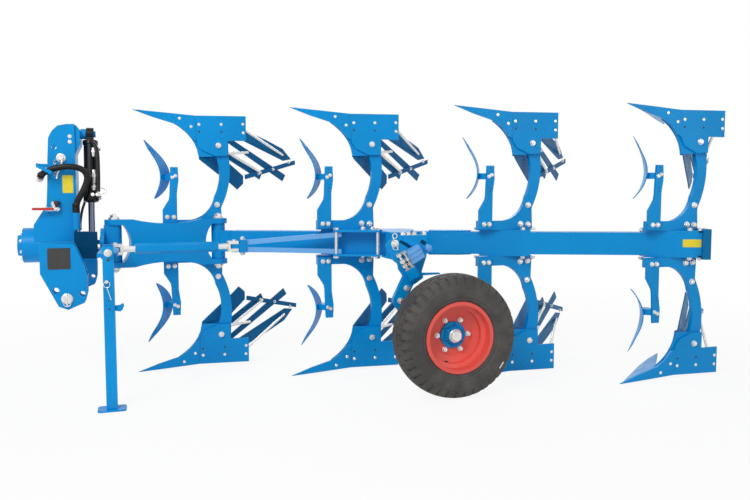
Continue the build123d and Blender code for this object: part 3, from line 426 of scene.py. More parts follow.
# ---------------------------------------------------------------- mesh making
@dataclass
class Shape:
    """One piece's mesh while it is being made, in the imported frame."""

    name: str
    finish: Finish
    body: Body
    mesh: bmesh.types.BMesh = field(default_factory=bmesh.new)

    def skin(self, rings: Sequence[list], closed: bool = False) -> None:
        """Joins rings of corners with faces. A ring of one corner is a point.

        Args:
            rings: the rings, in order.
            closed: joins the last ring to the first, as on a tyre.
        """
        for low, high in zip(rings, [*rings[1:], rings[0]] if closed else rings[1:]):
            sides = max(len(low), len(high))
            for i in range(sides):
                after = (i + 1) % sides
                if len(low) == 1:
                    corners = [low[0], high[after], high[i]]
                elif len(high) == 1:
                    corners = [low[i], low[after], high[0]]
                else:
                    corners = [low[i], low[after], high[after], high[i]]
                self.mesh.faces.new(corners)

    def caps(self, first: list, last: list) -> None:
        """Closes the first and last ring with a face each."""
        self.mesh.faces.new(first[::-1])
        self.mesh.faces.new(last)

    def ring(self, place: Vector, across: Vector, up: Vector, reach: float, sides: int) -> list:
        """Returns a new ring of corners.

        Args:
            place: its middle.
            across: the direction of its first corner.
            up: the direction a quarter turn on.
            reach: its radius in metres.
            sides: how many corners it has.
        """
        return [self.mesh.verts.new(place + (across * math.cos(a) + up * math.sin(a)) * reach)
                for a in angles(sides)]

    def turned(self, profile: Sequence[Pair], at: Vector, axis: Vector, sides: int = 24,
               start: float = 0.0, shape: Optional[Callable[[float, float, float], float]] = None,
               closed: bool = False) -> None:
        """Adds a turned piece, or a prism when it has few sides.

        Args:
            profile: (radius, height) points in millimetres along the axis; a radius of 0 closes
                an end.
            at: the place of height 0.
            axis: the direction of increasing height.
            sides: faces round the axis.
            start: the turn of the first corner, in radians.
            shape: changes a point's radius, given angle, radius and height.
            closed: joins the last ring to the first, as on a tyre.
        """
        spin = axis.normalized().to_track_quat("Z", "Y").to_matrix()
        rings = []
        for radius, height in profile:
            ring = []
            for angle in angles(sides, start) if radius else (0.0,):
                reach = shape(angle, radius, height) if shape else radius
                ring.append(self.mesh.verts.new(at + spin @ Vector((reach * MM * math.cos(angle),
                                                                    reach * MM * math.sin(angle),
                                                                    height * MM))))
            rings.append(ring)
        self.skin(rings, closed)

    def plate(self, outline: Sequence[Pair], at: Vector, across: Vector, up: Vector,
              thickness: float, bevel: float = 0.8) -> None:
        """Adds a flat plate with eased edges.

        Args:
            outline: corners in millimetres, anticlockwise seen from the plate's front.
            at: the place of (0, 0) on the back face.
            across: the direction of the outline's first coordinate.
            up: the direction of its second coordinate.
            thickness: how far the plate stands towards across x up, in millimetres.
            bevel: the width of the eased edge.
        """
        out = across.cross(up).normalized()
        middle = Vector((sum(p[0] for p in outline), sum(p[1] for p in outline))) / len(outline)
        layers = []
        for height, inset in ((0.0, 0.0), (thickness - bevel, 0.0), (thickness, bevel)):
            ring = []
            for corner in map(Vector, outline):
                eased = corner - (corner - middle).normalized() * inset
                offset = across * eased.x + up * eased.y + out * height
                ring.append(self.mesh.verts.new(at + offset * MM))
            layers.append(ring)
        self.caps(layers[0], layers[-1])
        self.skin(layers)

    def tube(self, points: Sequence[Vector], radius: float, sides: int = 14) -> None:
        """Adds a round bar along a smooth line through the points, with a radius in millimetres."""
        self.sleeve(smooth_line(points, 8), radius, sides)

    def sleeve(self, line: Sequence[Vector], radius: float, sides: int = 14,
               ribs: float = 0.0) -> None:
        """Adds a round bar or hose round a line.

        Args:
            line: the line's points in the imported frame, close together.
            radius: in millimetres.
            sides: faces round the bar.
            ribs: height of the ribs round a hose, one at every other point, in millimetres.
        """
        normal = (line[1] - line[0]).orthogonal().normalized()
        rings = []
        for i, place in enumerate(line):
            ahead = (line[min(i + 1, len(line) - 1)] - line[max(i - 1, 0)]).normalized()
            normal = (normal - ahead * normal.dot(ahead)).normalized()
            reach = (radius + (ribs if i % 2 else 0.0)) * MM
            rings.append(self.ring(place, normal, ahead.cross(normal), reach, sides))
        self.skin(rings)
        self.caps(rings[0], rings[-1])

    def torus(self, at: Vector, axis: Vector, radius: float, thick: float, sides: int = 24) -> None:
        """Adds a ring of round bar, with its radius and the bar's in millimetres."""
        spin = axis.normalized().to_track_quat("Z", "Y").to_matrix()
        rings = []
        for a in angles(sides):
            place = at + spin @ Vector((radius * MM * math.cos(a), radius * MM * math.sin(a), 0.0))
            rings.append(self.ring(place, (place - at).normalized(), spin @ UP, thick * MM, 8))
        self.skin(rings, True)

    def finished(self, smooth_angle: float = 35.0) -> bpy.types.Object:
        """Makes the object, gives it its finish and lets it ride on its body.

        Args:
            smooth_angle: edges flatter than this are shaded smooth, in degrees.

        Returns:
            The object.
        """
        bmesh.ops.recalc_face_normals(self.mesh, faces=self.mesh.faces)
        for face in self.mesh.faces:
            face.smooth = True
        limit = math.radians(smooth_angle)
        for edge in self.mesh.edges:
            if len(edge.link_faces) == 2 and edge.calc_face_angle(0.0) > limit:
                edge.smooth = False
        data = bpy.data.meshes.new(self.name)
        self.mesh.to_mesh(data)
        self.mesh.free()
        data.materials.append(self.finish.material())
        piece = add_object(self.name, data)
        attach(piece, self.body.value)
        log.info("%s rides on %s: %d faces", self.name, self.body.value, len(data.polygons))
        return piece


def route_line(points: Sequence[Vector], steps: int) -> list[Vector]:
    """Reads a smooth line from a spline that has the route's points as its controls.

    Args:
        points: the route's control points.
        steps: pieces in each stretch of the spline.

    Returns:
        The points of the smooth line, ends included.
    """
    data = bpy.data.curves.new("route", "CURVE")
    data.dimensions = "3D"
    data.resolution_u = steps
    spline = data.splines.new("NURBS")
    spline.points.add(len(points) - 1)
    for control, place in zip(spline.points, points):
        control.co = (*place, 1.0)
    spline.order_u = 3
    spline.use_endpoint_u = True
    holder = bpy.data.objects.new("route", data)
    line = [vertex.co.copy() for vertex in bpy.data.meshes.new_from_object(holder).vertices]
    bpy.data.objects.remove(holder)
    bpy.data.curves.remove(data)
    return line


def smooth_line(points: Sequence[Vector], steps: int) -> list[Vector]:
    """Rounds a line of points with a centripetal curve through them.

    Args:
        points: at least two points.
        steps: how many pieces each stretch becomes.

    Returns:
        The points of the smooth line, ends included.
    """
    if len(points) == 2:
        return [points[0].lerp(points[1], i / steps) for i in range(steps + 1)]
    padded = [points[0] * 2 - points[1], *points, points[-1] * 2 - points[-2]]
    line = []
    for before, start, end, after in zip(padded, padded[1:], padded[2:], padded[3:]):
        for t in (i / steps for i in range(steps)):
            line.append(0.5 * (2 * start + (end - before) * t
                               + (2 * before - 5 * start + 4 * end - after) * t * t
                               + (3 * start - before - 3 * end + after) * t ** 3))
    return [*line, points[-1]]


def rounded(width: float, height: float, radius: float, steps: int = 4) -> list[Pair]:
    """Returns a rounded rectangle's corners about (0, 0), anticlockwise.

    Args:
        width: across, in millimetres.
        height: up, in millimetres.
        radius: of the corners, in millimetres.
        steps: pieces in each corner's arc.
    """
    points = []
    for quarter, (sx, sy) in enumerate(((1, 1), (-1, 1), (-1, -1), (1, -1))):
        for i in range(steps + 1):
            angle = math.pi / 2 * (quarter + i / steps)
            points.append((sx * (width / 2 - radius) + radius * math.cos(angle),
                           sy * (height / 2 - radius) + radius * math.sin(angle)))
    return points


# ---------------------------------------------------------------- fasteners
@dataclass(frozen=True)
class Hexagon:
    """A hexagon bolt head or nut with its washer, in millimetres across flats."""

    across: float = 30.0
    height: float = 13.0
    washer: float = 21.0
    stub: float = 0.0
    washer_height: float = 2.8

    def fit(self, shape: Shape, at: Vector, axis: Vector, turn: float = 0.3) -> None:
        """Adds the head at a place on a face.

        Args:
            shape: the mesh to add to.
            at: the place on the face.
            axis: out of the face.
            turn: how the hexagon stands, in radians.
        """
        corner = self.across / math.sqrt(3)
        base = self.washer_height if self.washer else 0.0
        if self.washer:
            shape.turned([(0, 0), (self.washer, 0), (self.washer, 2.0), (self.washer - 0.8, base),
                          (0, base)],
                         at, axis, 20)
        top = base + self.height
        shape.turned([(corner, base), (corner, top - corner * 0.14), (corner * 0.86, top),
                      (corner * 0.52, top), (corner * 0.48, top - 0.8), (0, top - 0.8)], at, axis,
                     6, turn)
        if self.stub:
            thread = corner * 0.46
            shape.turned([(thread, top - 1), (thread, top + self.stub - 1.5),
                          (thread * 0.8, top + self.stub), (0, top + self.stub)], at, axis, 14)


@dataclass(frozen=True)
class Button:
    """A low domed or countersunk head, such as a plough bolt's."""

    radius: float = 9.0
    height: float = 2.2

    def fit(self, shape: Shape, at: Vector, axis: Vector, turn: float = 0.0) -> None:
        """Adds the head at a place on a face, pointing out along axis; turn is not used."""
        shape.turned([(self.radius, -0.5), (self.radius, self.height * 0.4),
                      (self.radius * 0.8, self.height), (0, self.height * 1.15)], at, axis, 18)


M12 = Hexagon(19, 8, 13, 3)
M16 = Hexagon(24, 10, 16, 3)
M20 = Hexagon(30, 13, 20, 4)


# ---------------------------------------------------------------- the ploughing bodies
@dataclass
class PloughBodies:
    """The four pairs of legs with their landsides, shares, slats and skimmers."""

    count: int = 4
    pitch: float = 1000.0
    step: float = 434.0
    leg_face: float = 4.0
    leg_back: float = 36.0
    side_face: float = -22.0
    stem_face: float = -12.0
    landside_bolts: tuple = ((-131, 817), (21, 821), (173, 826), (175, 766))
    landside_plugs: tuple = ((-131, 768), (21, 768))
    point_bolts: tuple = ((-185, 800), (-262, 855))
    frog_bolt: tuple = ((0, 674),)
    leg_bolts: tuple = ((-13, 257),)
    base_bolts: tuple = ((-69, 128), (-12, 124))
    toe_bolts: tuple = ((-350, 129), (-312, 129))
    first_toe_bolts: tuple = ((-357, 172), (-313, 171))
    skimmer_bolts: tuple = ((-318, 447), (-297, 458))
    # The stems' dark discs are painted shade, standing in for small holes.
    stem_hole_shades: tuple = ((-306, 350), (-303, 480), (-304, 500), (-306, 372))
    wing: tuple = (341, 398, 442)
    slat_nuts: tuple = ((338, 150), (150, 88), (-14, 52))
    slat_depth: float = 12.0

    def places(self) -> Iterable[tuple[int, float, float, int]]:
        """Yields each body's number, its x and y, and 1 for the upper or -1 for the lower side."""
        for number in range(self.count):
            for side in (1, -1):
                yield number, number * self.pitch, -number * self.step, side

    def heads(self, number: int) -> list[tuple]:
        """Returns the heads that a body shows, as (kind, spots, face, axis) rows.

        Args:
            number: the body's, from 0. The first hangs on the link frame, not on a base.
        """
        rows = [(Button(10.5, 3.0), self.landside_bolts + self.point_bolts, self.side_face, NEAR),
                (M20, self.frog_bolt, self.side_face, NEAR),
                (M20, self.leg_bolts, self.leg_face, NEAR),
                (M20, self.leg_bolts + self.frog_bolt, self.leg_back, FAR),
                (M16, self.landside_bolts[:1] + self.landside_bolts[2:] + self.point_bolts,
                 self.leg_face, FAR),
                (M12, self.skimmer_bolts, self.stem_face, NEAR)]
        if not number:
            return rows + [(M16, self.first_toe_bolts, self.stem_face, NEAR)]
        return rows + [(M20, self.base_bolts, self.leg_face, NEAR),
                       (M16, self.toe_bolts, self.stem_face, NEAR),
                       (M20, self.base_bolts, self.leg_back, FAR),
                       (M16, self.toe_bolts, self.leg_back, FAR)]

    def bolt_up(self) -> None:
        """Adds the bolts, nuts and plugs of every body, with dark discs of painted shade for the
        small holes along the stems.
        """
        heads = Shape("body_bolts", ZINC, Body.PLOUGH)
        plugs = Shape("body_plugs_and_hole_shade", DARK, Body.PLOUGH)
        # The stem row is painted shade: dark discs standing in for small holes.
        plug_rows = [(Button(7.5, 1.2), self.landside_plugs, self.side_face, NEAR),
                     (Button(4.5, 0.8), self.stem_hole_shades, self.stem_face, NEAR)]
        for number, x, y, side in self.places():
            turn = 0.25 + 0.37 * number
            for shape, rows in ((heads, self.heads(number)), (plugs, plug_rows)):
                for kind, spots, face, axis in rows:
                    for i, (dx, z) in enumerate(spots):
                        kind.fit(shape, DATUM.at(x + dx, y + face, side * z), axis, turn + 0.4 * i)
        heads.finished()
        plugs.finished()

    def dress_slats(self) -> None:
        """Adds the nuts behind the slats."""
        across = Vector((0.765, 0.644, 0.0)).normalized()
        out = Vector((0.644, -0.765, -0.10)).normalized()
        rise = out.cross(across).normalized()
        nuts = Shape("slat_nuts", ZINC, Body.PLOUGH)
        for _number, x, y, side in self.places():
            for along, up in self.slat_nuts:
                place = Vector(self.wing) + across * along + rise * up + out * self.slat_depth
                M12.fit(nuts, DATUM.at(x + place.x, y + place.y, side * place.z),
                        out * Vector((1, 1, side)), 0.2)
        nuts.finished()

    def dress(self) -> None:
        """Paints and fits out all bodies."""
        paint_nodes(BLUE, "legs frogs landsides points shares breasts bases skimmer_stems "
                          "skimmer_boards skimmer_shares skimmer_brackets")
        # The slats and slat bars take the blue with painted shade.
        paint_nodes(SHADED_BLUE, "slats slat_bars")
        paint_nodes(ZINC, "braces")
        self.bolt_up()
        self.dress_slats()


# ---------------------------------------------------------------- the main beam
@dataclass
class MainBeam:
    """The square beam that runs back at an angle, with its bases, doublers and end block."""

    half: float = 75.0
    slope: float = 0.434
    nose_x: float = -10.0
    base_top: float = 89.0
    base_middle: float = -110.0
    bolt_offsets: tuple = (-225, -130, -75, 60, 122)
    bolt_inset: float = 22.0
    block_bolt: tuple = (119, -330)
    block_middle: float = -18.0
    block_half: float = 44.0
    film_place: tuple = (3236, 6)

    def run(self) -> Vector:
        """Returns the direction of the beam, to the rear."""
        return Vector((1, -self.slope, 0)).normalized()

    def along(self, distance: float, sideways: float, height: float) -> Vector:
        """Returns a place on the beam.

        Args:
            distance: along the beam from the nose pin.
            sideways: to the mouldboards' side of the beam's middle.
            height: above the turnover axis.
        """
        run = self.run()
        return DATUM.at(self.nose_x + distance * run.x - sideways * run.y,
                        distance * run.y + sideways * run.x, height)

    def bolt_bases(self) -> None:
        """Adds the rows of upright bolts that hold the bases to the beam."""
        bolts = Shape("base_bolts", ZINC, Body.PLOUGH)
        for number in (1, 2, 3):
            for side in (1, -1):
                for offset in self.bolt_offsets:
                    x = number * PloughBodies.pitch + self.base_middle + offset
                    distance = (x - self.nose_x) * math.sqrt(1 + self.slope ** 2)
                    place = self.along(distance, self.bolt_inset - self.half, side * self.base_top)
                    M20.fit(bolts, place, UP * side, 0.2 + 0.3 * number)
        for side in (1, -1):
            M20.fit(bolts, DATUM.at(*self.block_bolt, self.block_middle + side * self.block_half),
                    UP * side, 0.5)
        bolts.finished()

    def label(self) -> None:
        """Adds the bare yellow plate near the beam's end."""
        film = Shape("beam_label", YELLOW, Body.PLOUGH)
        distance, height = self.film_place
        film.plate(rounded(118, 52, 6), self.along(distance, -self.half, height), self.run(), UP,
                   0.8, 0.3)
        film.finished()

    def dress(self) -> None:
        """Paints and fits out the beam."""
        paint_nodes(BLUE, "main_beam beam_doublers beam_nose clamp_plates draw_block")
        paint_nodes(LIGHT_BLUE, "draw_arms")
        # The end block takes the blue with painted shade.
        paint_nodes(SHADED_BLUE, "beam_end")
        paint_nodes(ZINC, "clamp_bolts")
        self.bolt_bases()
        self.label()


# ---------------------------------------------------------------- link frame and turnbuckle
@dataclass
class LinkFrame:
    """The swinging frame between headstock and beam, with its pins and its screw."""

    pins: tuple = ((-705, -90), (-10, 0))

    def dress(self) -> None:
        """Paints the link frame and adds nuts on its pins."""
        paint_nodes(BLUE, "link_frame rotor lug_plate turnbuckle")
        paint_nodes(ZINC, "hinge_pins screw_ends screw_pins")
        top = (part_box("hinge_pins")[1] - DATUM.at(0, 0, 0)).z / MM
        nuts = Shape("hinge_nuts", ZINC, Body.PLOUGH)
        for place in self.pins:
            for side in (1, -1):
                Hexagon(46, 18, 0, 5).fit(nuts, DATUM.at(*place, side * top), UP * side)
        nuts.finished()


# ---------------------------------------------------------------- depth wheel
@dataclass
class DepthWheel:
    """The depth wheel: treaded tyre, dished rim, hub casting and axle nut."""

    radius: float = 380.0
    bead: float = 203.0
    flange: float = 95.0
    pitches: int = 38
    steps_in_pitch: int = 12
    wall_top: float = 330.0
    shoulder: float = 74.0
    groove_depth: float = 9.0
    sway: float = 11.0
    stud_circle: float = 102.5
    studs: int = 6
    disc_near: float = 18.0
    hub_near: float = -26.0

    def centre(self) -> Vector:
        """Returns the middle of the wheel, from the CAD tyre's box."""
        low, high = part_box("tyre")
        return (low + high) / 2

    def disc(self) -> Vector:
        """Returns the middle of the rim's disc, on its near face."""
        return self.centre() + FAR * self.disc_near * MM

    def tread(self, angle: float, radius: float, height: float) -> float:
        """Returns the radius after the tread's grooves are cut.

        Args:
            angle: round the wheel, in radians.
            radius: of the carcass there, in millimetres.
            height: across the tyre, in millimetres.
        """
        phase = (angle * self.pitches / (2 * math.pi)) % 1.0
        sway = self.sway * (abs(phase - 0.5) * 2 - 0.5)
        if radius < self.wall_top:
            return radius
        if abs(height) > self.shoulder:
            return radius - (self.groove_depth * 1.35 if min(phase, 1 - phase) < 0.13 else 0.0)
        for middle, bend, half in ((26, 1.0, 4.6), (68, 0.4, 3.4)):
            if any(abs(height - line - sway * bend) < half for line in (-middle, middle)):
                return radius - self.groove_depth
        if abs(phase - 0.5) < 0.05 and abs(height) > 34:
            return radius - self.groove_depth * 0.6
        return radius

    def section(self) -> list[Pair]:
        """Returns the tyre's closed section as (radius, height) points."""
        wall = [(self.bead, self.flange - 2), (219, self.flange - 0.5), (222, self.flange + 5),
                (228, 104),
                (231, 109), (237, 111), (240, 110), (252, 117.5), (254, 119.5), (257, 119.5),
                (259, 119.5),
                (268, 122.6), (278, 124.0), (290, 123.6), (302, 121.6), (304, 122.4), (308, 121.6),
                (310, 119.4),
                (322, 115.6), (332, 111.4), (341, 107), (350, 101.5), (358, 96), (363.5, 91)]
        crown = [(self.radius - 15.0 * (abs(height) / 91) ** 2.2,
                  height) for height in range(88, -89, -4)]
        return wall + crown + [(r, -h) for r, h in reversed(wall)]

    def tyre(self) -> None:
        """Replaces the plain tyre with one that has sidewall rings and a cut tread."""
        piece = Shape("treaded_tyre", RUBBER, Body.WHEEL)
        piece.turned(self.section(), self.centre(), FAR, self.pitches * self.steps_in_pitch, 0.0,
                     self.tread, True)
        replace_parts(piece.finished(28), "tyre")

    def mark(self) -> None:
        """Adds the small pale sticker on the sidewall."""
        mark = Shape("tyre_mark", PALE, Body.WHEEL)
        out, along = slanted(-34)
        place = self.centre() + out * 0.318 + NEAR * 0.1222
        mark.plate(rounded(46, 9, 2), place, along, (out + NEAR * -0.14).normalized(), 1.0, 0.2)
        mark.finished()

    def rim_details(self) -> None:
        """Adds the wheel nuts, the valve and the disc's raised ring."""
        nuts = Shape("wheel_nuts", ZINC, Body.WHEEL)
        near = self.disc()
        for i in range(self.studs):
            out = slanted(60 * i)[0]
            Hexagon(26, 15, 17, 7).fit(nuts, near + out * self.stud_circle * MM, NEAR, 0.2 * i)
        nuts.finished()
        ring = Shape("disc_ring", RED, Body.WHEEL)
        ring.turned([(148, -1), (152, 3.5), (158, 4.2), (164, 2.5), (168, -1)], near, NEAR, 96)
        ring.turned([(216.5, 109.5), (219.5, 112.5), (218.5, 116.5), (213, 118.6), (205, 117.0),
                     (199, 112.0)],
                    near, NEAR, 128)
        ring.finished()
        valve = Shape("tyre_valve", DARK, Body.WHEEL)
        out = slanted(-108)[0]
        valve.turned([(8, 0), (7, 4), (4, 7), (3.6, 30), (4.6, 31), (4.6, 40), (0, 41)],
                     near + out * 0.172 + NEAR * 0.004, (NEAR + out * -0.25).normalized(), 14)
        valve.finished()

    def hub_casting(self) -> None:
        """Adds the ribbed blue hub in front of the disc, and the axle's nut."""
        hub = Shape("hub_casting", BLUE, Body.WHEEL)
        near = self.disc()
        depth = self.disc_near - self.hub_near
        hub.turned([(0, -0.5), (82, -0.5), (83, 2), (82, 9), (80, 11), (60, 12.5), (52, 18),
                    (47, 30),
                    (45, depth - 6), (42, depth - 2), (38, depth + 1.2), (0, depth + 1.2)], near,
                   NEAR, 64)
        rib = [(44, 9), (78, 9), (76, 14), (50, depth - 8), (44, depth - 6)]
        for i in range(6):
            out = slanted(30 + 60 * i)[0]
            hub.plate(rib, near - NEAR.cross(out) * 0.004, out, NEAR, 8.0, 1.0)
        hub.finished()
        nut = Shape("axle_nut", ZINC, Body.WHEEL_ARM)
        front = self.centre() + FAR * self.hub_near * MM + NEAR * 0.002
        nut.turned([(0, 0), (41, 0), (41, 3), (39, 4.5), (0, 4.5)], front, NEAR, 32)
        nut.turned([(36.5, 4.5), (36.5, 20), (31.5, 24.5), (20, 24.5), (20, 23), (0, 23)], front,
                   NEAR, 6, 0.5)
        nut.finished()

    def dress(self) -> None:
        """Paints the wheel and builds its pieces."""
        paint_nodes(RED, "rim")
        paint_nodes(BLUE, "hub wheel_arm")
        paint_nodes(ZINC, "axle")
        self.tyre()
        self.mark()
        self.rim_details()
        self.hub_casting()


@dataclass
class WheelMount:
    """The depth wheel arm's head: its flange, buffer and stop, with their rods, bolts and pins."""

    face: float = -941.0
    thickness: float = 18.0
    buffer: tuple = (1120, -50)
    buffer_depth: float = 58.0
    buffer_side: float = 90.0
    buffer_slant: float = 31.0
    stop: tuple = (1107, -175)
    stop_depth: float = 40.0
    stop_side: float = 74.0
    stop_slant: float = 28.0
    rods: tuple = (((1012, -46), (1083, -160)), ((1046, -30), (1116, -146)))
    rod_nuts: tuple = ((0.04, 14), (0.36, 20), (0.60, 20), (0.88, 14))
    rod_stand: float = 20.0
    top: float = 64.0
    flange: tuple = (1012, 1214)
    flange_depth: float = 17.0
    bar_slant: float = -30.0
    bar: tuple = (1098, 26)
    # Dark sheets of painted shade on the head's face: width, height, x and z of each.
    shade_patches: tuple = ((112, 18, 1077, 6), (40, 26, 1190, 22))
    tongue: tuple = (1176, -183)
    top_bolts: tuple = (1057, 1093, 1134, 1201)
    pin: tuple = (997, 18)
    eye: tuple = (996, 66)
    knob: tuple = (1223, -15)
    arm_bolts: tuple = ((1078, -270), (1036, -348))

    def on_face(self, spot: Pair, out: float = 0.0) -> Vector:
        """Returns a place on the head's near face, given x and z, or standing out from it."""
        return DATUM.at(spot[0], self.face - out, spot[1])

    def plates(self) -> None:
        """Adds the head's top flange, its side bars and dark sheets of painted shade in its
        recesses.
        """
        flange = Shape("head_flange", BLUE, Body.WHEEL_ARM)
        low, high = self.flange
        place = self.on_face(((low + high) / 2, self.top - 2), -self.flange_depth)
        flange.plate(rounded(high - low, 34, 6), place, REARWARD, FAR, 8.0, 1.5)
        slope, rise = slanted(self.bar_slant)
        flange.plate(rounded(100, 34, 5), self.on_face(self.bar), slope, rise, 16.0, 2.5)
        flange.plate([(0, -9), (128, -5), (136, 0), (128, 6), (0, 9)],
                     self.on_face(self.tongue, -self.thickness),
                     REARWARD, UP, self.thickness - 2, 1.5)
        flange.finished()
        # Dark sheets on the head's face: painted shade standing in for the shadow in its recesses.
        slot = Shape("head_painted_shade", DEEP_SHADE_BLUE, Body.WHEEL_ARM)
        for width, height, x, z in self.shade_patches:
            slot.plate(rounded(width, height, 8), self.on_face((x, z)), slope, rise, 0.6, 0.2)
        slot.finished()

    def blocks(self) -> None:
        """Adds the long ribs on the buffer and the welded pad on the stop."""
        along, across = slanted(self.buffer_slant)
        side = self.buffer_side
        ribs = Shape("buffer_ribs", LIGHT_BLUE, Body.WHEEL_ARM)
        face = self.on_face(self.buffer, self.buffer_depth)
        for row in (-1, 0, 1):
            ribs.plate(rounded(side - 2, side / 3 - 4, 4), face + across * row * side / 3 * MM,
                       along, across, 6.0, 1.8)
        cheek = [(-26, 2 - side / 2), (26, 2 - side / 2), (26, side / 2 - 2), (-26, side / 2 - 2)]
        end = self.on_face(self.buffer, self.buffer_depth / 2) + along * (side / 2) * MM
        ribs.plate(cheek, end, FAR, across, 3.0, 1.0)
        ribs.finished()
        along, across = slanted(self.stop_slant)
        pad = Shape("stop_pad", BLUE, Body.WHEEL_ARM)
        pad.plate(rounded(self.stop_side - 14, self.stop_side - 12, 6),
                  self.on_face(self.stop, self.stop_depth), along, across, 4.0, 1.2)
        pad.finished()

    def screws(self) -> None:
        """Adds the two threaded rods with their nuts, and the flange's bolts."""
        metal = Shape("head_screws", ZINC, Body.WHEEL_ARM)
        for spots in self.rods:
            start, end = (self.on_face(spot, self.rod_stand) for spot in spots)
            way = (end - start).normalized()
            metal.tube([start, end], 8.5, 14)
            for share, height in self.rod_nuts:
                place = start.lerp(end, share)
                metal.turned([(16, 0), (17.5, 1.5), (17.5, height - 1.5), (16, height),
                              (0, height)],
                             place, way, 6, 0.52)
                metal.turned([(20, -3), (20, 0), (0, 0)], place, way, 20)
        for x in self.top_bolts:
            M20.fit(metal, self.on_face((x, self.top + 6), -self.flange_depth), UP, x)
        metal.finished()

    def pins(self) -> None:
        """Adds the adjusting pin with its clip, the knob and the arm's bolts."""
        metal = Shape("head_pins", ZINC, Body.WHEEL_ARM)
        place = self.on_face(self.pin)
        metal.turned([(25, 0), (25, 4), (23, 5), (14, 5), (14, 18), (12, 21), (0, 22)], place, NEAR,
                     26)
        metal.torus(moved(place, 0, -12, -20), NEAR, 19, 2.4)
        metal.tube([moved(place, -20, -14, 46), moved(place, 0, -15, 0),
                    moved(place, 20, -12, -40)], 3.6, 10)
        metal.torus(self.on_face(self.eye, 4), NEAR, 15, 3.6)
        for spot in self.arm_bolts:
            M20.fit(metal, self.on_face(spot), NEAR, 0.4)
        metal.finished()
        knob = Shape("head_knob", LIGHT_BLUE, Body.WHEEL_ARM)
        knob.turned([(20, -14), (22, -12), (22, 20), (19, 24), (14, 26), (0, 27)],
                    self.on_face(self.knob), NEAR, 32)
        knob.finished()

    def dress(self) -> None:
        """Paints the head and fits its pieces."""
        paint_nodes(BLUE, "wheel_bracket arm_stop")
        paint_nodes(LIGHT_BLUE, "arm_buffer")
        self.plates()
        self.blocks()
        self.screws()
        self.pins()


# ---------------------------------------------------------------- headstock
@dataclass
class Headstock:
    """The tower, turnover housing, crossbeam and their pins, plugs and plates."""

    turn_y: float = -95.0
    tower_face: float = -206.0
    ear_face: float = -627.5
    crossbeam: tuple = (-998, -50)
    link_pin: tuple = (-960, -292)
    top_pin: tuple = (-1010, 562)
    tower_bolts: tuple = ((-954, 701), (-954, 666))
    cap_face: float = -1260.0
    cap_circle: float = 92.0
    lock: tuple = (-925, 62)
    film_place: tuple = (-974, 396)

    def bolts(self) -> None:
        """Adds the tower's and housing's bolts."""
        heads = Shape("tower_bolts", ZINC, Body.HEADSTOCK)
        for x, z in self.tower_bolts:
            Button(13, 4).fit(heads, DATUM.at(x, self.tower_face, z), NEAR)
            M16.fit(heads, DATUM.at(x, 2 * self.turn_y - self.tower_face, z), FAR)
        for angle in angles(8, math.radians(22.5)):
            place = DATUM.at(self.cap_face, self.turn_y + self.cap_circle * math.cos(angle),
                             self.cap_circle * math.sin(angle))
            M12.fit(heads, place, FORWARD, angle)
        heads.finished()

    def ear(self, spot: Pair, side: int) -> Vector:
        """Returns a place on an ear's outside, given x, z and 1 for the far or -1 for the near."""
        return DATUM.at(spot[0], self.turn_y + side * (self.turn_y - self.ear_face), spot[1])

    def plugs(self) -> None:
        """Adds the dark plugs in the ends of the square crossbeam."""
        plug = Shape("crossbeam_plugs", DARK, Body.HEADSTOCK)
        for side in (1, -1):
            place = self.ear(self.crossbeam, side)
            plug.plate(rounded(126, 126, 6), place, REARWARD * -side, UP, 3.0, 1.5)
            plug.plate(rounded(96, 96, 8), place + FAR * side * 0.003, REARWARD * -side, UP, 1.4,
                       1.0)
        plug.finished()

    def pins(self) -> None:
        """Adds rings, linchpins and the top-link pin's handle and chain."""
        wire = Shape("linchpins", ZINC, Body.HEADSTOCK)
        for side in (1, -1):
            out = FAR * side
            place = self.ear(self.link_pin, side)
            wire.turned([(0, 0), (33, 0), (33, 4), (30, 6), (24, 6.5), (0, 6.5)], place, out, 28)
            wire.torus(place + out * 0.009 + UP * -0.022, out, 22, 2.6)
            wire.turned([(4.6, -46), (4.6, 30), (3, 33), (0, 33)], place + out * 0.011, UP, 10)
        place = DATUM.at(self.top_pin[0], self.tower_face, self.top_pin[1])
        wire.turned([(0, 0), (29, 0), (29, 5), (26, 7), (20, 7), (19, 22), (16, 25), (0, 26)],
                    place, NEAR, 26)
        handle = ((6, -18, 4), (6, -24, -30), (-10, -20, -70), (-22, -16, -100), (-26, -12, -120))
        wire.tube([moved(place, *point) for point in handle], 6.5, 12)
        for i in range(6):
            wire.torus(moved(place, -34 - 4 * (i % 2), -6, -16 - 17 * i),
                       NEAR if i % 2 else REARWARD, 7.0, 1.6, 14)
        lock = DATUM.at(self.lock[0], self.tower_face - 26, self.lock[1])
        M16.fit(wire, moved(lock, 0, 0, -10), UP)
        wire.turned([(11, 0), (11, 26), (9, 28), (0, 28)], lock, UP, 20)
        wire.finished()

    def film(self) -> None:
        """Adds the bare yellow plate on the tower."""
        film = Shape("tower_label", YELLOW, Body.HEADSTOCK)
        x, z = self.film_place
        film.plate(rounded(64, 114, 5), DATUM.at(x, self.tower_face, z), REARWARD, UP, 0.8, 0.3)
        film.finished()

    def dress(self) -> None:
        """Paints and fits out the headstock."""
        paint_nodes(BLUE, "housing front_cap crossbeam bracket_ears tower_plates tower_back "
                          "ram_lug stand_pipe hose_holder")
        # The ram guard takes the blue's deep painted shade.
        paint_nodes(DEEP_SHADE_BLUE, "ram_guard")
        paint_nodes(ZINC, "link_pins top_link_pin")
        self.bolts()
        self.plugs()
        self.pins()
        self.film()


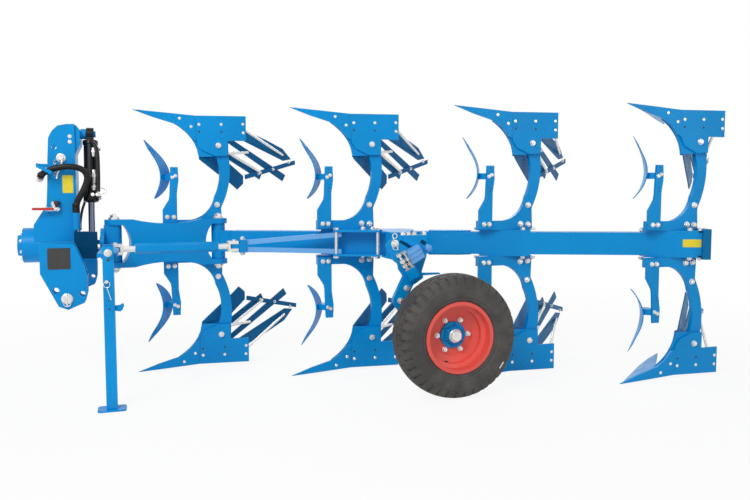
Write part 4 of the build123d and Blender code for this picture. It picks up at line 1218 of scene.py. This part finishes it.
@dataclass
class HoseLine:
    """The hydraulic hose over the tower, its couplings, its thin pilot hose and the ball valve."""

    face: float = -206.0
    radius: float = 20.0
    rib: float = 1.2
    route: tuple = ((-1134, -198, 444), (-1122, -240, 460), (-1072, -260, 486), (-1004, -264, 505),
                    (-930, -262, 507),
                    (-872, -248, 488), (-850, -240, 440), (-866, -238, 384), (-898, -237, 322),
                    (-927, -232, 268), (-927, -232, 212))
    pilot: tuple = ((-872, -170, 305), (-880, -172, 272), (-893, -176, 238), (-903, -180, 186),
                    (-909, -178, 140), (-912, -170, 112))
    pilot_radius: float = 8.0
    valve: tuple = (-1068, 236)
    valve_stand: float = 18.0

    def sleeve(self) -> None:
        """Replaces the plain hose with one in a ribbed guard sleeve."""
        line = route_line([DATUM.at(*place) for place in self.route], 14)
        hose = Shape("ribbed_hose", HOSE, Body.HEADSTOCK)
        hose.sleeve(line, self.radius - self.rib, 24, self.rib)
        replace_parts(hose.finished(60), "hose")

    def couplings(self) -> None:
        """Adds the crimped ferrules at the hose's ends and the cap on its free coupling."""
        ends = Shape("hose_ferrules", BLACK, Body.HEADSTOCK)
        crimped = [(21.5, 0), (23, 2), (23, 14), (21.8, 16), (23, 18), (23, 30), (21.8, 32),
                   (23, 34), (23, 56), (21, 60), (20, 60)]
        ends.turned(crimped, DATUM.at(*self.route[-1]), UP, 24)
        start, after = DATUM.at(*self.route[0]), DATUM.at(*self.route[1])
        out = (start - after).normalized()
        ends.turned([(20, -30), (22.5, -28), (22.5, -4), (21, 0), (18, 0)], start, out, 24)
        ends.finished()
        coupling = Shape("free_coupling", ZINC, Body.HEADSTOCK)
        coupling.turned([(18, 0), (18, 4), (23, 4), (23, 18), (20, 19), (20, 24)], start, out, 6,
                        0.2)
        coupling.turned([(20, 24), (22, 25), (22, 44), (20, 47), (0, 48)], start, out, 28)
        coupling.finished()

    def pilot_hose(self) -> None:
        """Adds the thin hose beside the stand pipe with its end fittings."""
        places = [DATUM.at(*place) for place in self.pilot]
        hose = Shape("pilot_hose", HOSE, Body.HEADSTOCK)
        hose.sleeve(route_line(places, 10), self.pilot_radius, 14)
        hose.finished()
        ends = Shape("pilot_fittings", ZINC, Body.HEADSTOCK)
        fitting = [(8.4, -26), (10, -24), (10, -4), (12.5, -4), (12.5, 8), (9, 10), (9, 16),
                   (0, 16)]
        for tip, inner in (places[:2], places[:-3:-1]):
            ends.turned(fitting, tip, (tip - inner).normalized(), 16)
        ends.finished()

    def ball_valve(self) -> None:
        """Dresses the ball valve: hexagon ends, bonnet and stem cap."""
        middle = DATUM.at(self.valve[0], self.face - self.valve_stand, self.valve[1])
        metal = Shape("valve_ends", ZINC, Body.HEADSTOCK)
        for way in (REARWARD, FORWARD):
            metal.turned([(17, -6), (18.5, -4), (18.5, 8), (17, 10), (12, 10), (12, 15), (0, 15)],
                         middle + way * 0.030, way, 6, 0.52)
        metal.turned([(13, 12), (13, 22), (11, 24), (0, 24)], middle, NEAR, 6, 0.3)
        metal.finished()
        cap = Shape("valve_cap", DARK, Body.HEADSTOCK)
        cap.turned([(9, 14), (9, 30), (19, 31), (20, 33), (20, 50), (18, 52), (0, 53)],
                   moved(middle, 26, 0, 0), UP, 20)
        cap.finished()

    def dress(self) -> None:
        """Paints the hose line's nodes and fits its pieces."""
        paint_nodes(ZINC, "ball_valve")
        paint_nodes(RED_GRIP, "valve_lever")
        self.sleeve()
        self.couplings()
        self.pilot_hose()
        self.ball_valve()


# ---------------------------------------------------------------- turnover ram
@dataclass
class TurnoverRam:
    """The turnover ram's gland, collars, ports and feed hose."""

    top: Point = (-838, -95, 726)
    radius: float = 42.0
    start: float = 50.0
    end: float = 450.0
    hose_radius: float = 15.0
    hose: tuple = ((62, 40, 12), (84, 56, 30), (130, 58, 44), (230, 58, 46), (330, 58, 46),
                   (392, 58, 44))
    unions: tuple = ((104, 60), (250, 92), (346, 40))
    foot: tuple = ((392, 58, 44), (404, 58, 56), (402, 60, 80), (388, 60, 92), (372, 60, 84),
                   (366, 60, 64))

    def down(self) -> Vector:
        """Returns the direction from the ram's top eye to its rod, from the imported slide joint."""
        return Vector(joint("ram_slide")["axis"]).normalized()

    def beside(self, distance: float, out: float, back: float) -> Vector:
        """Returns a place beside the barrel.

        Args:
            distance: down from the middle of the upper eye.
            out: towards the near side.
            back: to the rear.
        """
        down = self.down()
        side = (NEAR - down * NEAR.dot(down)).normalized()
        return DATUM.at(*self.top) + (down * distance + side * out + REARWARD * back) * MM

    def collars(self) -> None:
        """Adds the barrel's upper collar, its gland and its two ports."""
        down = self.down()
        rings = Shape("ram_collars", BLACK, Body.BARREL)
        upper = ((-1, -4), (5, -4), (6, -2), (6, 20), (4, 22), (-1, 22))
        gland = ((-1, -40), (4, -40), (6, -38), (6, -8), (3, -3), (-16, 3), (-20, 6), (-21, 6))
        for profile, distance in ((upper, self.start), (gland, self.end)):
            rings.turned([(self.radius + r, h) for r, h in profile], self.beside(distance, 0, 0),
                         down, 40)
        rings.finished()
        ports = Shape("ram_ports", ZINC, Body.BARREL)
        for distance in (self.start + 46, self.end - 26):
            ports.turned([(15, 0), (15, 9), (13, 10), (13, 12), (15.5, 12), (15.5, 22), (13, 23),
                          (0, 23)],
                         self.beside(distance, 0, self.radius - 2), REARWARD, 6)
        ports.finished()

    def feed_pipe(self) -> None:
        """Adds the black hose beside the barrel, its couplings and the bent pipe at its foot."""
        down = self.down()
        hose = Shape("barrel_hose", HOSE, Body.BARREL)
        hose.sleeve(route_line([self.beside(*point) for point in self.hose], 10), self.hose_radius,
                    20)
        hose.finished()
        metal = Shape("barrel_fittings", ZINC, Body.BARREL)
        for distance, length in self.unions:
            metal.turned([(0, 0), (10, 0), (11, 2), (11, length * 0.3), (15, length * 0.32),
                          (15, length * 0.55),
                          (11, length * 0.57), (10, length - 3), (8, length), (0, length)],
                         self.beside(distance, 60, 22), down, 6, 0.4)
        metal.tube([self.beside(*point) for point in self.foot], 6.0, 12)
        side = (NEAR - down * NEAR.dot(down)).normalized()
        for back in (12, 40):
            metal.turned([(14, 0), (14, 10), (11, 12), (0, 12)], self.beside(410, 40, back), side,
                         6, 0.3)
        metal.finished()

    def dress(self) -> None:
        """Paints the ram and fits its pieces."""
        paint_nodes(BLACK, "ram_barrel")
        # The ram rod's dark chrome colour is painted reflection.
        paint_nodes(CHROME, "ram_rod")
        self.collars()
        self.feed_pipe()


# ---------------------------------------------------------------- parking stand
@dataclass
class Stand:
    """The parking stand with its pivot bolt, its locking pin and its row of holes, drawn as dark
    discs of painted shade.
    """

    x: float = -712.0
    face: float = -935.0
    side: float = 60.0
    holes: tuple = ((-40, 8), (-271, 4.5), (-319, 6))
    lock: tuple = (-722, -162)
    grip_z: float = -310.0

    def dress(self) -> None:
        """Paints the stand and adds its bolt, its holes as dark discs of painted shade, its pin,
        clip and grip.
        """
        paint_nodes(BLUE, "stand_tube stand_foot")
        paint_nodes(ZINC, "stand_pin")
        bolt = Shape("stand_bolt", ZINC, Body.PLOUGH)
        Hexagon(34, 12, 22, 0).fit(bolt, DATUM.at(self.x, self.face - 0.6, 0), NEAR)
        bolt.finished()
        # The stand's holes are dark discs: painted shade standing in for the shadow inside each
        # hole.
        holes = Shape("stand_hole_shade", DARK, Body.STAND)
        for z, radius in self.holes:
            Button(radius, 0.7).fit(holes, DATUM.at(self.x, self.face, z), NEAR)
        holes.finished()
        clip = Shape("stand_lock", ZINC, Body.STAND)
        place = DATUM.at(self.lock[0], self.face, self.lock[1])
        clip.turned([(0, 0), (11, 0), (11, 10), (9, 13), (0, 13)], place, NEAR, 18)
        clip.torus(moved(place, 0, -8, -16), NEAR, 17, 2.2)
        clip.tube([moved(place, 0, -8, -30), moved(place, 12, -10, -70),
                   moved(place, 22, -6, -105)], 2.6, 8)
        clip.finished()
        grip = Shape("stand_grip", BLUE, Body.STAND)
        outline = [(0, -22), (28, -28), (40, -18), (50, 6), (44, 20), (26, 10), (0, 8)]
        half = self.side / 2
        grip.plate(outline, DATUM.at(self.x + half, self.face + half, self.grip_z), REARWARD, UP,
                   12.0, 1.2)
        grip.finished()


# ---------------------------------------------------------------- studio
@dataclass
class Studio:
    """A pale floor, soft lamps and the camera."""

    focal: float = 34.8
    sensor: float = 36.0
    yaw: float = 17.72
    pitch: float = 4.36
    roll: float = 0.03
    camera: Point = (-517.0, -5268.0, 327.0)
    floor_side: float = 60.0
    floor_grey: float = 0.86
    sky: Point = (0.93, 0.96, 1.0)
    sky_strength: float = 0.46
    lamps: tuple = (("key", (-4.5, -5.0, 5.5), (-0.3, 0.0, 0.9), 3.2, 305),
                    ("fill", (4.5, -6.0, 3.5), (0.5, -0.5, 0.8), 4.0, 45),
                    ("back", (1.0, 5.0, 4.5), (0.0, 0.0, 0.9), 3.5, 120))

    def build_camera(self) -> None:
        """Places the camera level with the plough's middle, to the left of it."""
        data = bpy.data.cameras.new("camera")
        data.lens = self.focal
        data.sensor_width = self.sensor
        eye = add_object("camera", data)
        eye.location = DATUM.at(*self.camera)
        eye.rotation_euler = (math.radians(90 - self.pitch), math.radians(self.roll),
                              math.radians(-self.yaw))
        bpy.context.scene.camera = eye

    def build_floor(self) -> None:
        """Makes the pale floor, white to the camera apart from a soft shadow near the plough."""
        half = self.floor_side / 2
        data = bpy.data.meshes.new("floor")
        data.from_pydata([(-half, -half, 0), (half, -half, 0), (half, half, 0), (-half, half, 0)],
                         [], [(0, 1, 2, 3)])
        surface = bpy.data.materials.new("pale_floor")
        surface.use_nodes = True
        kit = NodeKit(surface.node_tree)
        lit = surface.node_tree.nodes["Principled BSDF"]
        kit.fill(lit, {"Base Color": (*[self.floor_grey] * 3, 1), "Roughness": 0.9})
        glow = kit.node("ShaderNodeEmission")
        place = kit.node("ShaderNodeTexCoord").outputs["Object"]
        away = kit.node("ShaderNodeVectorMath", {0: place}, operation="LENGTH").outputs["Value"]
        share = kit.calc("MULTIPLY", kit.backdrop_rays(), kit.spread(away, 2.6, 5.5, 0.90, 1.0))
        kit.show(share, lit.outputs["BSDF"], glow.outputs["Emission"], "Material Output")
        data.materials.append(surface)
        floor = add_object("floor", data)

    def build_world(self) -> None:
        """Makes the surrounding light, plain white to the camera and in reflections."""
        world = bpy.data.worlds.new("studio")
        world.use_nodes = True
        bpy.context.scene.world = world
        kit = NodeKit(world.node_tree)
        lit = world.node_tree.nodes["Background"]
        kit.fill(lit, {"Color": (*self.sky, 1), "Strength": self.sky_strength})
        seen = kit.node("ShaderNodeBackground", {"Color": (1, 1, 1, 1), "Strength": 1.0})
        kit.show(kit.backdrop_rays(), lit.outputs["Background"], seen.outputs["Background"],
                 "World Output")

    def add_lamp(self, name: str, place: Point, aim: Point, size: float, power: float) -> None:
        """Adds a soft square lamp.

        Args:
            name: what it is called.
            place: where it stands, in metres.
            aim: what it points at, in metres.
            size: of its side, in metres.
            power: in watts.
        """
        data = bpy.data.lights.new(name, "AREA")
        data.size = size
        data.energy = power
        lamp = add_object(name, data)
        lamp.location = place
        lamp.rotation_euler = (Vector(aim) - Vector(place)).to_track_quat("-Z", "Y").to_euler()

    def build(self) -> None:
        """Builds the whole studio."""
        self.build_camera()
        self.build_floor()
        self.build_world()
        for lamp in self.lamps:
            self.add_lamp(*lamp)


def main() -> None:
    """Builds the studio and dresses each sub-assembly."""
    logging.basicConfig(level=logging.INFO, format="%(message)s")
    bpy.context.scene.view_settings.view_transform = "Standard"
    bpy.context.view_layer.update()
    Studio().build()
    assemblies = (PloughBodies(), MainBeam(), LinkFrame(), DepthWheel(), WheelMount(), Headstock(),
                  HoseLine(), TurnoverRam(), Stand())
    for assembly in assemblies:
        log.info("-- %s", type(assembly).__name__)
        assembly.dress()


if __name__ == "__main__":
    main()
